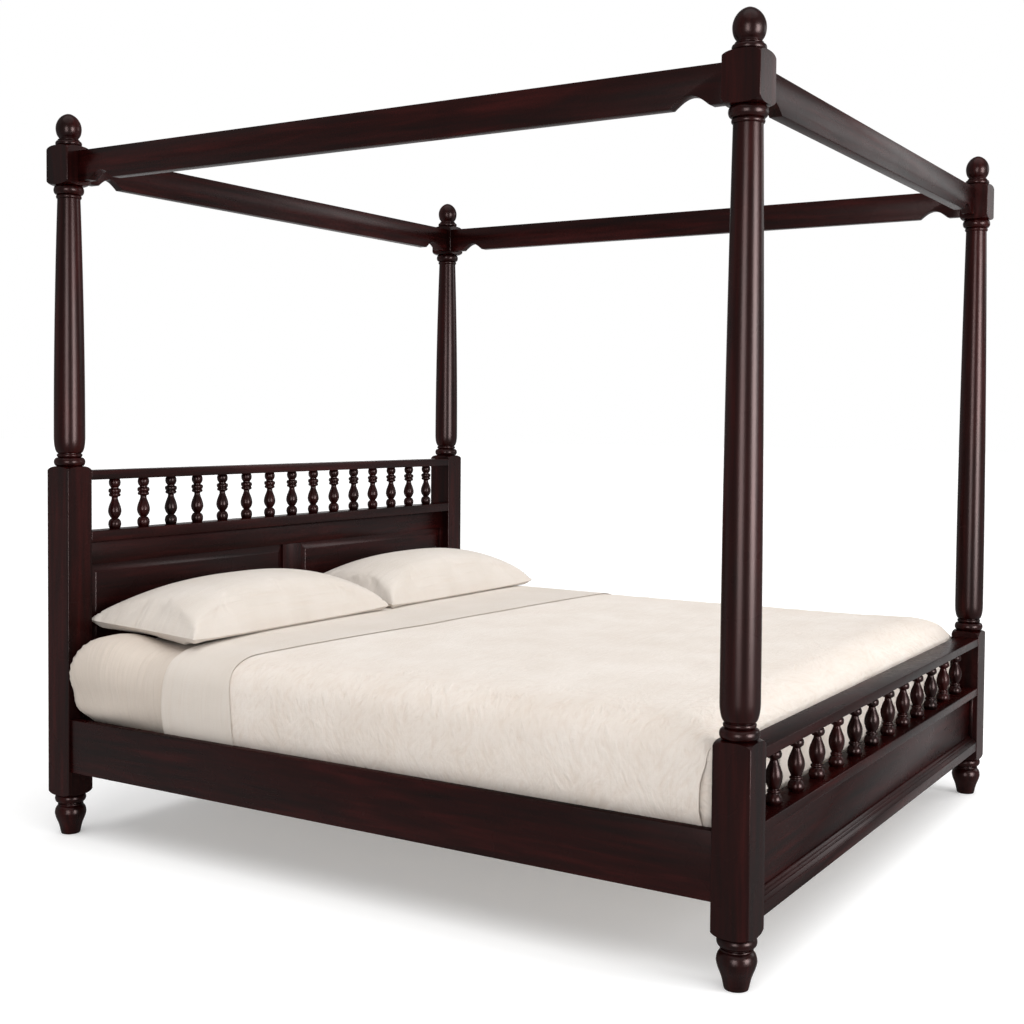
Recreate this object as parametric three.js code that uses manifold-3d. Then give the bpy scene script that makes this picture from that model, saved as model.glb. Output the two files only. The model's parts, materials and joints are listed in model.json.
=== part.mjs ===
// A king-size canopy bed in turned and polished wood, dressed with mattress, coverlet and pillows.
// Millimetres, +Z up. X runs across the bed, +Y points to the head, and the origin lies on the floor
// under the middle of the bed.
import * as THREE from 'three';
import { mergeVertices } from 'three/addons/utils/BufferGeometryUtils.js';
import Module from 'manifold-3d';

const wasm = await Module();
wasm.setup();

// Driving dimensions: the mattress, and the room that the bed leaves round it
const MATTRESS_WIDTH = 1930;
const MATTRESS_LENGTH = 2030;
const MATTRESS_HEIGHT = 268;
const MATTRESS_SIDE_ROOM = 31;
const MATTRESS_END_ROOM = 10;
const MATTRESS_SIDE_BULGE = 32;
const MATTRESS_END_BULGE = 8;
const MATTRESS_CORNER_RADIUS = 120;
const MATTRESS_EDGE_RADIUS = 55;

// Driving dimensions: the four posts
const POST_HEIGHT = 2040;
const POST_SQUARE = 90;
const FOOT_BLOCK_TOP = 552;
const HEAD_BLOCK_TOP = 1098;
const TOP_BLOCK_HEIGHT = 115;
const SHOULDER_START_RADIUS = 39;
const SHOULDER_DROP = 13;
const CORE_RADIUS = 33;

// Driving dimensions: the turnings on a post
const FOOT_BASE_DIAMETER = 50;
const VASE_DIAMETER = 90;
const VASE_HEIGHT = 94;
const FOOT_NECK_DIAMETER = 69;
const FOOT_COLLAR_DIAMETER = 90;
const FOOT_COLLAR_HEIGHT = 25;
const BASE_TORUS_DIAMETER = 90;
const BASE_TORUS_HEIGHT = 26;
const BASE_BEAD_DIAMETER = 74;
const BASE_BEAD_HEIGHT = 12;
const COLUMN_DIAMETER = 90;
const COLUMN_TOP_DIAMETER = 66;
const COLUMN_NECK_DIAMETER = 66;
const COLUMN_ROUNDING_HEIGHT = 44;
const CAPITAL_TORUS_DIAMETER = 87;
const CAPITAL_TORUS_HEIGHT = 27;
const CAPITAL_BEAD_DIAMETER = 73;
const CAPITAL_BEAD_HEIGHT = 12;

// Driving dimensions: the finials
const FINIAL_HEIGHT = 96;
const FINIAL_RING_DIAMETER = 76;
const FINIAL_RING_HEIGHT = 17;
const FINIAL_NECK_DIAMETER = 54;
const FINIAL_NECK_HEIGHT = 24;
const FINIAL_EGG_DIAMETER = 74;
const FINIAL_DOWEL_DIAMETER = 20;
const FINIAL_DOWEL_LENGTH = 30;

// Driving dimensions: the tester rails that join the post tops
const TESTER_RAIL_DROP = 15;
const TESTER_RAIL_HEIGHT = 88;
const TESTER_RAIL_THICKNESS = 32;
const TESTER_RECESS = 40;
const SCALLOP_SPAN = 96;
const SCALLOP_DEPTH = 25;
const SCALLOP_TAB = 45;

// Driving dimensions: the side rails, their ledgers and what carries the mattress
const SIDE_RAIL_TOP = 351;
const SIDE_RAIL_HEIGHT = 157;
const SIDE_RAIL_THICKNESS = 28;
const SIDE_RAIL_RECESS = 6;
const LEDGER_THICKNESS = 25;
const LEDGER_HEIGHT = 40;
const SLAT_DROP = 39;
const SLAT_THICKNESS = 18;
const SLAT_WIDTH = 70;
const SLAT_COUNT = 14;
const SLAT_END_CLEARANCE = 3;
const WEBBING_WIDTH = 30;
const WEBBING_THICKNESS = 2;
const WEBBING_OFFSET = 520;
const CENTRE_BEAM_WIDTH = 58;
const CENTRE_BEAM_HEIGHT = 70;
const LEG_SQUARE = 52;
const GLIDE_FLOOR_GAP = 4;
const GLIDE_TRAVEL_UP = 12;
const GLIDE_TOP_CLEARANCE = 3;
const GLIDE_DISC_DIAMETER = 42;
const GLIDE_DISC_HEIGHT = 7;
const GLIDE_STEM_DIAMETER = 10;
const GLIDE_STEM_LENGTH = 62;
const GLIDE_BORE_CLEARANCE = 0.5;

// Driving dimensions: the headboard
const HEAD_CAP_DROP = 13;
const HEAD_CAP_THICKNESS = 28;
const HEAD_CAP_DEPTH = 62;
const HEAD_GALLERY_RAIL_HEIGHT = 33;
const HEAD_FRAME_RECESS = 30;
const HEAD_FRAME_THICKNESS = 28;
const HEAD_FRAME_RAIL_HEIGHT = 70;
const HEAD_BOTTOM_RAIL_HEIGHT = 150;
const HEAD_STILE_WIDTH = 17;
const MUNTIN_WIDTH = 96;
const PANEL_SETBACK = 8;
const PANEL_BEVEL_WIDTH = 22;
const PANEL_THICKNESS = 18;
const HEAD_SPINDLE_COUNT = 15;
const HEAD_SPINDLE_LENGTH = 154;
const HEAD_SPINDLE_DIAMETER = 37;

// Driving dimensions: the footboard
const FOOT_CAP_DROP = 20;
const FOOT_CAP_THICKNESS = 25;
const FOOT_RAIL_DEPTH = 75;
const FOOT_MID_RAIL_THICKNESS = 25;
const FOOT_PANEL_RECESS = 24;
const FOOT_PANEL_THICKNESS = 14;
const FOOT_BOTTOM_RAIL_BOTTOM = 156;
const FOOT_BOTTOM_RAIL_HEIGHT = 28;
const FOOT_MOULDING_HEIGHT = 22;
const FOOT_LIP_WIDTH = 12;
const FOOT_LEDGER_THICKNESS = 24;
const FOOT_SPINDLE_COUNT = 12;
const FOOT_SPINDLE_LENGTH = 141;
const FOOT_SPINDLE_DIAMETER = 38;

// Driving dimensions: the bedding on the mattress
const COVERLET_THICKNESS = 8;
const COVERLET_HEM_DROP = 21;
const COVERLET_HEAD_SETBACK = 347;
const PILLOW_SIDE_MARGIN = 43;
const PILLOW_DEPTH = 436;
const PILLOW_THICKNESS = 172;
const PILLOW_PAIR_GAP = 16;
const PILLOW_HEAD_GAP = 6;

// Clearances, joinery and mesh steps
const RAIL_FACE_RECESS = 1;
const SEAT_GAP = 0.3;
const OVERRUN = 1;
const TENON_LENGTH = 20;
const TENON_THICKNESS_SHARE = 0.5;
const TENON_HEIGHT_SHARE = 0.6;
const POST_SIDES = 16;
const FINIAL_SIDES = 14;
const SPINDLE_SIDES = 8;
const STEM_SIDES = 12;

// Places that several pieces share
const halfPost = POST_SQUARE / 2;
const railInsideFace = halfPost - SIDE_RAIL_RECESS - SIDE_RAIL_THICKNESS;
const halfX = MATTRESS_WIDTH / 2 + MATTRESS_SIDE_ROOM - railInsideFace;
const halfY = MATTRESS_LENGTH / 2 + MATTRESS_END_ROOM + halfPost;
const innerFaceX = halfX - halfPost;
const innerFaceY = halfY - halfPost;
const outerFaceX = halfX + halfPost;
const outerFaceY = halfY + halfPost;

const polished = { color: 0x2a1512, roughness: 0.32, metalness: 0 };
const plainWood = { color: 0xb49468, roughness: 0.7, metalness: 0 };
const linen = { color: 0xe6dcd0, roughness: 0.9, metalness: 0 };
const steel = { color: 0x6c6f72, roughness: 0.4, metalness: 0.9 };

const bed = new THREE.Group();

// Solids

function solidOf(geometry) {
  const source = geometry.index ? geometry.toNonIndexed() : geometry.clone();
  source.deleteAttribute('normal');
  source.deleteAttribute('uv');
  const merged = mergeVertices(source, SEAT_GAP / 1000);
  const mesh = new wasm.Mesh({
    numProp: 3,
    vertProperties: Float32Array.from(merged.attributes.position.array),
    triVerts: Uint32Array.from(merged.index.array),
  });
  return new wasm.Manifold(mesh);
}

function geometryOf(solid) {
  const mesh = solid.getMesh();
  const geometry = new THREE.BufferGeometry();
  geometry.setAttribute('position', new THREE.BufferAttribute(Float32Array.from(mesh.vertProperties), 3));
  geometry.setIndex(Array.from(mesh.triVerts));
  geometry.computeVertexNormals();
  return geometry;
}

function box([x0, x1], [y0, y1], [z0, z1]) {
  const geometry = new THREE.BoxGeometry(x1 - x0, y1 - y0, z1 - z0);
  geometry.translate((x0 + x1) / 2, (y0 + y1) / 2, (z0 + z1) / 2);
  return solidOf(geometry);
}

// A solid of revolution about Z, from [radius, height] points that start and end on the axis.
function turned(outline, sides, x = 0, y = 0) {
  const points = outline.map(([r, z]) => new THREE.Vector2(r, z));
  const geometry = new THREE.LatheGeometry(points, sides);
  geometry.rotateX(Math.PI / 2);
  geometry.rotateZ(Math.PI / 2);
  geometry.translate(x, y, 0);
  return solidOf(geometry);
}

function add(name, solid, finish) {
  const mesh = new THREE.Mesh(geometryOf(solid), new THREE.MeshStandardMaterial(finish));
  mesh.name = name;
  bed.add(mesh);
}

// Outlines of turned work, as lists of [radius, height] points

// A half round that stands out from the radii at its two ends.
function bead(r0, z0, r1, z1, rMax, steps) {
  const points = [];
  for (let i = 0; i <= steps; i += 1) {
    const turn = Math.PI * i / steps;
    const share = (1 - Math.cos(turn)) / 2;
    const chord = r0 + (r1 - r0) * share;
    points.push([chord + (rMax - (r0 + r1) / 2) * Math.sin(turn), z0 + (z1 - z0) * share]);
  }
  return points;
}

// Points given as shares of a height and of a radius.
function shaped(shares, z0, height, radius) {
  return shares.map(([heightShare, radiusShare]) => [radius * radiusShare, z0 + height * heightShare]);
}

const vaseShares = [
  [0.07, 0.64], [0.2, 0.68], [0.34, 0.79], [0.5, 0.94], [0.66, 1], [0.8, 0.96], [0.92, 0.86],
];

// The column below its top: a rounded foot, then a swelling that thins towards the top.
function columnOutline(z0, z1) {
  const maxRadius = COLUMN_DIAMETER / 2;
  const topRadius = COLUMN_TOP_DIAMETER / 2;
  const neckRadius = COLUMN_NECK_DIAMETER / 2;
  const roundingSteps = 3;
  const shaftSteps = 4;
  const thinningPower = 1.9;
  const points = [];
  for (let i = 0; i <= roundingSteps; i += 1) {
    const turn = Math.PI / 2 * i / roundingSteps;
    points.push([
      neckRadius + (maxRadius - neckRadius) * Math.sin(turn),
      z0 + COLUMN_ROUNDING_HEIGHT * (1 - Math.cos(turn)),
    ]);
  }
  const shaftStart = z0 + COLUMN_ROUNDING_HEIGHT;
  for (let i = 1; i <= shaftSteps; i += 1) {
    const share = i / shaftSteps;
    const radius = maxRadius - (maxRadius - topRadius) * share ** thinningPower;
    points.push([radius, shaftStart + (z1 - shaftStart) * share]);
  }
  return points;
}

// A square block whose end faces are turned round at their corners.
function shoulderedBlock(x, y, z0, z1) {
  const square = box([x - halfPost, x + halfPost], [y - halfPost, y + halfPost], [z0, z1]);
  const cornerRadius = halfPost * Math.SQRT2 + OVERRUN;
  const lastTurn = Math.PI * 0.39;
  const steps = 3;
  const reach = (cornerRadius - SHOULDER_START_RADIUS) / Math.sin(lastTurn);
  const fall = SHOULDER_DROP / (1 - Math.cos(lastTurn));
  const lower = [];
  for (let i = 0; i <= steps; i += 1) {
    const turn = lastTurn * i / steps;
    lower.push([SHOULDER_START_RADIUS + reach * Math.sin(turn), fall * (1 - Math.cos(turn))]);
  }
  const outline = [[0, z0]];
  for (const [r, rise] of lower) outline.push([r, z0 + rise]);
  for (const [r, rise] of lower.slice().reverse()) outline.push([r, z1 - rise]);
  outline.push([0, z1]);
  return square.intersect(turned(outline, POST_SIDES, x, y));
}

// Rails between the posts, with a stub tenon at each end

// along: 'x' for a rail at the foot (side -1) or head (side 1), 'y' for a rail at the left or right.
// across: the distances of its two faces from the bed's middle plane. z: its lowest and highest point.
function railBox(rail) {
  const face = (rail.along === 'x' ? innerFaceX : innerFaceY) - SEAT_GAP;
  const cross = rail.across.map((distance) => rail.side * distance).sort((a, b) => a - b);
  return rail.along === 'x' ? box([-face, face], cross, rail.z) : box(cross, [-face, face], rail.z);
}

function middleOf([low, high], share) {
  const middle = (low + high) / 2;
  const half = (high - low) * share / 2;
  return [middle - half, middle + half];
}

function grow([low, high], gap) {
  return [low - gap, high + gap];
}

// The tenon at one end of a rail, or the mortise that takes it when a gap is given.
function tenonBox(rail, end, gap) {
  const face = rail.along === 'x' ? innerFaceX : innerFaceY;
  const root = face - SEAT_GAP - OVERRUN;
  const tip = face + TENON_LENGTH + gap;
  const run = [end * root, end * tip].sort((a, b) => a - b);
  const cross = rail.across.map((distance) => rail.side * distance).sort((a, b) => a - b);
  const width = grow(middleOf(cross, TENON_THICKNESS_SHARE), gap);
  const height = grow(middleOf(rail.z, TENON_HEIGHT_SHARE), gap);
  return rail.along === 'x' ? box(run, width, height) : box(width, run, height);
}

function railSolid(rail) {
  return railBox(rail).add(tenonBox(rail, -1, 0)).add(tenonBox(rail, 1, 0));
}

const footFace = outerFaceY - RAIL_FACE_RECESS;
const footInner = footFace - FOOT_RAIL_DEPTH;
const sideRailOuter = outerFaceX - SIDE_RAIL_RECESS;
const sideRailInner = sideRailOuter - SIDE_RAIL_THICKNESS;
const sideRailZ = [SIDE_RAIL_TOP - SIDE_RAIL_HEIGHT, SIDE_RAIL_TOP];
const topBlockBottom = POST_HEIGHT - TOP_BLOCK_HEIGHT;
const testerTop = POST_HEIGHT - TESTER_RAIL_DROP;
const testerZ = [testerTop - TESTER_RAIL_HEIGHT, testerTop];
const testerOuterX = outerFaceX - TESTER_RECESS;
const testerOuterY = outerFaceY - TESTER_RECESS;
const headFace = innerFaceY + RAIL_FACE_RECESS;
const headFrameFront = innerFaceY + HEAD_FRAME_RECESS;
const headFrameBack = headFrameFront + HEAD_FRAME_THICKNESS;
const headCapBack = headFace + HEAD_CAP_DEPTH;
const headCapTop = HEAD_BLOCK_TOP - HEAD_CAP_DROP;
const headCapBottom = headCapTop - HEAD_CAP_THICKNESS;
const headGalleryTop = headCapBottom - HEAD_SPINDLE_LENGTH;
const headGalleryBottom = headGalleryTop - HEAD_GALLERY_RAIL_HEIGHT;
const headPanelTop = headGalleryBottom - HEAD_FRAME_RAIL_HEIGHT;
const footCapTop = FOOT_BLOCK_TOP - FOOT_CAP_DROP;
const footCapBottom = footCapTop - FOOT_CAP_THICKNESS;
const footMidTop = footCapBottom - FOOT_SPINDLE_LENGTH;
const footMidBottom = footMidTop - FOOT_MID_RAIL_THICKNESS;
const footBottomRailTop = FOOT_BOTTOM_RAIL_BOTTOM + FOOT_BOTTOM_RAIL_HEIGHT;
const footPanelFront = outerFaceY - FOOT_PANEL_RECESS;
const footPanelBack = footPanelFront - FOOT_PANEL_THICKNESS;
const footMouldingTop = footBottomRailTop + FOOT_MOULDING_HEIGHT;
const slatTop = SIDE_RAIL_TOP - SLAT_DROP;
const slatBottom = slatTop - SLAT_THICKNESS;
const beamBottom = slatBottom - SEAT_GAP - CENTRE_BEAM_HEIGHT;
const headBottomRailBottom = SIDE_RAIL_TOP - HEAD_BOTTOM_RAIL_HEIGHT;

const rails = {
  side: (side) => ({ along: 'y', side, across: [sideRailInner, sideRailOuter], z: sideRailZ }),
  testerSide: (side) => ({
    along: 'y', side, across: [testerOuterX - TESTER_RAIL_THICKNESS, testerOuterX], z: testerZ,
  }),
  testerEnd: (side) => ({
    along: 'x', side, across: [testerOuterY - TESTER_RAIL_THICKNESS, testerOuterY], z: testerZ,
  }),
  headCap: { along: 'x', side: 1, across: [headFace, headCapBack], z: [headCapBottom, headCapTop] },
  headGallery: {
    along: 'x', side: 1, across: [headFace, headCapBack], z: [headGalleryBottom, headGalleryTop],
  },
  headBottom: {
    along: 'x', side: 1, across: [headFrameFront, headFrameBack],
    z: [headBottomRailBottom, SIDE_RAIL_TOP],
  },
  footCap: { along: 'x', side: -1, across: [footInner, footFace], z: [footCapBottom, footCapTop] },
  footMid: { along: 'x', side: -1, across: [footInner, footFace], z: [footMidBottom, footMidTop] },
  footBottom: {
    along: 'x', side: -1, across: [footInner, footFace], z: [FOOT_BOTTOM_RAIL_BOTTOM, footBottomRailTop],
  },
};

// Posts and finials

const footTurningHeight = VASE_HEIGHT + FOOT_COLLAR_HEIGHT;
const footDisc = [[0, 0], [FOOT_BASE_DIAMETER / 2, 0]];
const dowelBottom = POST_HEIGHT - FINIAL_DOWEL_LENGTH;

function postOutline(blockTop) {
  const neck = FOOT_NECK_DIAMETER / 2;
  const torusTop = blockTop + BASE_TORUS_HEIGHT;
  const beadTop = torusTop + BASE_BEAD_HEIGHT;
  const capitalTorusBottom = topBlockBottom - CAPITAL_TORUS_HEIGHT;
  const capitalBeadBottom = capitalTorusBottom - CAPITAL_BEAD_HEIGHT;
  const capitalBeadTop = capitalTorusBottom - OVERRUN;
  return [
    ...footDisc,
    ...shaped(vaseShares, 0, VASE_HEIGHT, VASE_DIAMETER / 2),
    ...bead(neck, VASE_HEIGHT, neck, footTurningHeight + OVERRUN, FOOT_COLLAR_DIAMETER / 2, 4),
    [CORE_RADIUS, footTurningHeight + OVERRUN + OVERRUN],
    [CORE_RADIUS, blockTop - OVERRUN],
    ...bead(CORE_RADIUS, blockTop, CORE_RADIUS, torusTop, BASE_TORUS_DIAMETER / 2, 4),
    ...bead(CORE_RADIUS, torusTop + OVERRUN, CORE_RADIUS - OVERRUN, beadTop, BASE_BEAD_DIAMETER / 2, 2),
    ...columnOutline(beadTop + OVERRUN, capitalBeadBottom - OVERRUN),
    ...bead(CORE_RADIUS, capitalBeadBottom, CORE_RADIUS, capitalBeadTop, CAPITAL_BEAD_DIAMETER / 2, 2),
    ...bead(CORE_RADIUS, capitalTorusBottom, CORE_RADIUS, topBlockBottom, CAPITAL_TORUS_DIAMETER / 2, 4),
    [CORE_RADIUS, POST_HEIGHT - OVERRUN],
    [0, POST_HEIGHT - OVERRUN],
  ];
}

// The rails that enter the post on side sx (left -1) and sy (foot -1).
function railsAt(sx, sy) {
  const shared = [
    [rails.side(sx), sy],
    [rails.testerSide(sx), sy],
    [rails.testerEnd(sy), sx],
  ];
  const ends = sy > 0
    ? [rails.headCap, rails.headGallery, rails.headBottom]
    : [rails.footCap, rails.footMid, rails.footBottom];
  return [...shared, ...ends.map((rail) => [rail, sx])];
}

function postSolid(sx, sy) {
  const x = sx * halfX;
  const y = sy * halfY;
  const blockTop = sy > 0 ? HEAD_BLOCK_TOP : FOOT_BLOCK_TOP;
  let post = turned(postOutline(blockTop), POST_SIDES, x, y)
    .add(shoulderedBlock(x, y, footTurningHeight, blockTop))
    .add(shoulderedBlock(x, y, topBlockBottom, POST_HEIGHT));
  for (const [rail, end] of railsAt(sx, sy)) post = post.subtract(tenonBox(rail, end, SEAT_GAP));
  const boreRadius = FINIAL_DOWEL_DIAMETER / 2 + SEAT_GAP;
  const boreBottom = dowelBottom - SEAT_GAP - OVERRUN;
  const boreTop = POST_HEIGHT + OVERRUN;
  const bore = [[0, boreBottom], [boreRadius, boreBottom], [boreRadius, boreTop], [0, boreTop]];
  return post.subtract(turned(bore, FINIAL_SIDES, x, y));
}

function finialSolid(x, y) {
  const seat = POST_HEIGHT + SEAT_GAP;
  const dowel = FINIAL_DOWEL_DIAMETER / 2;
  const neck = FINIAL_NECK_DIAMETER / 2;
  const ringBase = neck + (FINIAL_RING_DIAMETER / 2 - neck) / 2;
  const eggBottom = seat + FINIAL_NECK_HEIGHT;
  const eggHeight = FINIAL_HEIGHT - SEAT_GAP - FINIAL_NECK_HEIGHT;
  const eggShares = [
    [0.1, 0.86], [0.25, 0.97], [0.42, 1], [0.6, 0.935], [0.76, 0.77], [0.9, 0.5], [0.975, 0.24],
  ];
  const outline = [
    [0, dowelBottom],
    [dowel, dowelBottom],
    [dowel, seat],
    ...bead(ringBase, seat, neck, seat + FINIAL_RING_HEIGHT, FINIAL_RING_DIAMETER / 2, 4),
    [neck, eggBottom],
    ...shaped(eggShares, eggBottom, eggHeight, FINIAL_EGG_DIAMETER / 2),
    [0, eggBottom + eggHeight],
  ];
  return turned(outline, FINIAL_SIDES, x, y);
}

for (const [end, sy] of [['foot', -1], ['head', 1]]) {
  for (const [across, sx] of [['left', -1], ['right', 1]]) {
    add(`post_${end}_${across}`, postSolid(sx, sy), polished);
    add(`finial_${end}_${across}`, finialSolid(sx * halfX, sy * halfY), polished);
  }
}

// Tester rails, scalloped beside each post

function scallopCutter(rail, end) {
  const face = rail.along === 'x' ? innerFaceX : innerFaceY;
  const farEdge = face - SCALLOP_TAB;
  const steps = 8;
  const shape = new THREE.Shape();
  shape.moveTo(end * farEdge, rail.z[0] - OVERRUN);
  for (let i = 0; i <= steps; i += 1) {
    const share = i / steps;
    const rise = SCALLOP_DEPTH * Math.sin(Math.PI * share);
    shape.lineTo(end * (farEdge - SCALLOP_SPAN * share), rail.z[0] + rise);
  }
  shape.lineTo(end * (farEdge - SCALLOP_SPAN), rail.z[0] - OVERRUN);
  shape.closePath();
  const cross = rail.across.map((distance) => rail.side * distance).sort((a, b) => a - b);
  const depth = cross[1] - cross[0] + OVERRUN * 2;
  const geometry = new THREE.ExtrudeGeometry(shape, { depth, bevelEnabled: false, steps: 1 });
  geometry.rotateX(Math.PI / 2);
  if (rail.along === 'x') {
    geometry.translate(0, cross[1] + OVERRUN, 0);
  } else {
    geometry.rotateZ(Math.PI / 2);
    geometry.translate(cross[0] - OVERRUN, 0, 0);
  }
  return solidOf(geometry);
}

function testerRail(rail) {
  return railSolid(rail).subtract(scallopCutter(rail, -1)).subtract(scallopCutter(rail, 1));
}

add('tester_rail_left', testerRail(rails.testerSide(-1)), polished);
add('tester_rail_right', testerRail(rails.testerSide(1)), polished);
add('tester_rail_head', testerRail(rails.testerEnd(1)), polished);
add('tester_rail_foot', testerRail(rails.testerEnd(-1)), polished);

// Side rails, each with the ledger that carries the slats

const ledgerTop = slatBottom - SEAT_GAP;
const ledgerInner = sideRailInner - LEDGER_THICKNESS;

for (const [across, sx] of [['left', -1], ['right', 1]]) {
  const ledgerX = [sx * (sideRailInner + OVERRUN), sx * ledgerInner].sort((a, b) => a - b);
  const ledgerRun = innerFaceY - TENON_LENGTH;
  const ledger = box(ledgerX, [-ledgerRun, ledgerRun], [ledgerTop - LEDGER_HEIGHT, ledgerTop]);
  add(`side_rail_${across}`, railSolid(rails.side(sx)).add(ledger), polished);
}

// Headboard

const headFrameRail = box(
  [-innerFaceX + SEAT_GAP, innerFaceX - SEAT_GAP],
  [headFrameFront, headFrameBack],
  [headPanelTop, headGalleryBottom + OVERRUN],
);

const panelBottom = SIDE_RAIL_TOP + SEAT_GAP;
const panelTop = headPanelTop - SEAT_GAP;
const stileInner = innerFaceX - HEAD_STILE_WIDTH;

function headStile(sx) {
  const run = [sx * stileInner, sx * (innerFaceX - SEAT_GAP)].sort((a, b) => a - b);
  return box(run, [headFrameFront, headFrameBack], [SIDE_RAIL_TOP - OVERRUN, panelTop]);
}

// The tenon of the centre beam, at the head or the foot, or its mortise when a gap is given.
function beamTenon(end, face, depth, gap) {
  const run = [end * (face - SEAT_GAP - OVERRUN), end * (face + depth + gap)].sort((a, b) => a - b);
  const width = grow(middleOf([-CENTRE_BEAM_WIDTH / 2, CENTRE_BEAM_WIDTH / 2], TENON_THICKNESS_SHARE), gap);
  const height = grow(middleOf([beamBottom, slatBottom - SEAT_GAP], TENON_HEIGHT_SHARE), gap);
  return box(width, run, height);
}

const ledgerFace = footPanelBack - SEAT_GAP - FOOT_LEDGER_THICKNESS;
const headTenonDepth = HEAD_FRAME_THICKNESS / 2;
const footTenonDepth = FOOT_LEDGER_THICKNESS / 2;

add('headboard_cap_rail', railSolid(rails.headCap), polished);
add('headboard_gallery_rail', railSolid(rails.headGallery).add(headFrameRail), polished);
add(
  'headboard_bottom_rail',
  railSolid(rails.headBottom).add(headStile(-1)).add(headStile(1))
    .subtract(beamTenon(1, headFrameFront, headTenonDepth, SEAT_GAP)),
  polished,
);
add(
  'headboard_muntin',
  box([-MUNTIN_WIDTH / 2, MUNTIN_WIDTH / 2], [headFrameFront, headFrameBack], [panelBottom, panelTop]),
  polished,
);

// A raised panel: a plate with a field that stands forward of it behind a sloping border.
function raisedPanel([x0, x1], [z0, z1]) {
  const plateFront = headFrameFront + PANEL_SETBACK;
  const plate = box([x0, x1], [plateFront, plateFront + PANEL_THICKNESS], [z0, z1]);
  const ring = (inset, y) => [
    [x0 + inset, y, z0 + inset], [x1 - inset, y, z0 + inset],
    [x1 - inset, y, z1 - inset], [x0 + inset, y, z1 - inset],
  ];
  const border = [ring(0, plateFront + OVERRUN), ring(0, plateFront)];
  const field = lofted([...border, ring(PANEL_BEVEL_WIDTH, headFrameFront)]);
  return plate.add(field);
}

// A closed solid through rings of points that run the same way round, capped at both ends.
function lofted(rings) {
  const count = rings[0].length;
  const positions = rings.flat(2);
  const index = [];
  for (let ring = 0; ring + 1 < rings.length; ring += 1) {
    for (let i = 0; i < count; i += 1) {
      const a = ring * count + i;
      const b = ring * count + (i + 1) % count;
      index.push(a, b, b + count, a, b + count, a + count);
    }
  }
  const last = (rings.length - 1) * count;
  for (let i = 1; i + 1 < count; i += 1) {
    index.push(0, i + 1, i);
    index.push(last, last + i, last + i + 1);
  }
  const geometry = new THREE.BufferGeometry();
  geometry.setAttribute('position', new THREE.Float32BufferAttribute(positions, 3));
  geometry.setIndex(index);
  return solidOf(geometry);
}

const panelInner = MUNTIN_WIDTH / 2 + SEAT_GAP;
const panelOuter = stileInner - SEAT_GAP;
const panelZ = [panelBottom, panelTop];
add('headboard_panel_left', raisedPanel([-panelOuter, -panelInner], panelZ), polished);
add('headboard_panel_right', raisedPanel([panelInner, panelOuter], panelZ), polished);

// Spindles

const headSpindleShares = [
  [0, 0.86], [0.09, 0.95], [0.155, 0.78], [0.195, 0.5], [0.27, 0.84], [0.35, 1], [0.44, 0.9], [0.57, 0.48],
  [0.655, 0.86], [0.7, 0.7], [0.75, 0.92], [0.815, 0.56], [0.91, 0.88], [1, 0.7],
];
const footSpindleShares = [
  [0, 0.84], [0.09, 1], [0.185, 0.68], [0.225, 0.76], [0.265, 0.6], [0.35, 0.86], [0.45, 1], [0.55, 0.84],
  [0.72, 0.5], [0.79, 0.6], [0.855, 0.88], [0.93, 0.6], [1, 0.72],
];

function addSpindles(prefix, count, shares, diameter, y, z0, z1) {
  const pitch = innerFaceX * 2 / (count + 1);
  for (let i = 1; i <= count; i += 1) {
    const low = z0 + SEAT_GAP;
    const high = z1 - SEAT_GAP;
    const outline = [[0, low], ...shaped(shares, low, high - low, diameter / 2), [0, high]];
    add(`${prefix}_${i}`, turned(outline, SPINDLE_SIDES, -innerFaceX + pitch * i, y), polished);
  }
}

addSpindles(
  'headboard_spindle', HEAD_SPINDLE_COUNT, headSpindleShares, HEAD_SPINDLE_DIAMETER,
  (headFace + headCapBack) / 2, headGalleryTop, headCapBottom,
);
addSpindles(
  'footboard_spindle', FOOT_SPINDLE_COUNT, footSpindleShares, FOOT_SPINDLE_DIAMETER,
  -(footInner + footFace) / 2, footMidTop, footCapBottom,
);

// Footboard

add('footboard_cap_rail', railSolid(rails.footCap), polished);
add('footboard_mid_rail', railSolid(rails.footMid), polished);

const footRunX = [-innerFaceX + SEAT_GAP, innerFaceX - SEAT_GAP];

// The moulding slopes from the panel down to the face of the bottom rail, and lips stand at both ends.
function footMoulding() {
  const [x0, x1] = footRunX;
  const low = footBottomRailTop - OVERRUN;
  const ring = (x) => [
    [x, -footPanelBack, low], [x, -footFace, low], [x, -footFace, footBottomRailTop],
    [x, -footPanelFront, footMouldingTop - SEAT_GAP], [x, -footPanelBack, footMouldingTop - SEAT_GAP],
  ];
  return lofted([ring(x1), ring(x0)]);
}

function footLip(sx) {
  const run = [sx * (innerFaceX - FOOT_LIP_WIDTH), sx * (innerFaceX - SEAT_GAP)].sort((a, b) => a - b);
  const lipFront = footPanelFront + FOOT_LIP_WIDTH;
  return box(run, [-lipFront, -footPanelBack], [footMouldingTop - OVERRUN, footMidBottom - SEAT_GAP]);
}

add(
  'footboard_bottom_rail',
  railSolid(rails.footBottom).add(footMoulding()).add(footLip(-1)).add(footLip(1)),
  polished,
);
const footPanelX = innerFaceX - FOOT_LIP_WIDTH - SEAT_GAP;
const footPanelZ = [footMouldingTop, footMidBottom - SEAT_GAP];
add('footboard_panel', box([-footPanelX, footPanelX], [-footPanelFront, -footPanelBack], footPanelZ), polished);
add(
  'foot_ledger',
  box(footRunX, [-(footPanelBack - SEAT_GAP), -ledgerFace], [footBottomRailTop + SEAT_GAP, ledgerTop])
    .subtract(beamTenon(-1, ledgerFace, footTenonDepth, SEAT_GAP)),
  plainWood,
);

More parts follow.
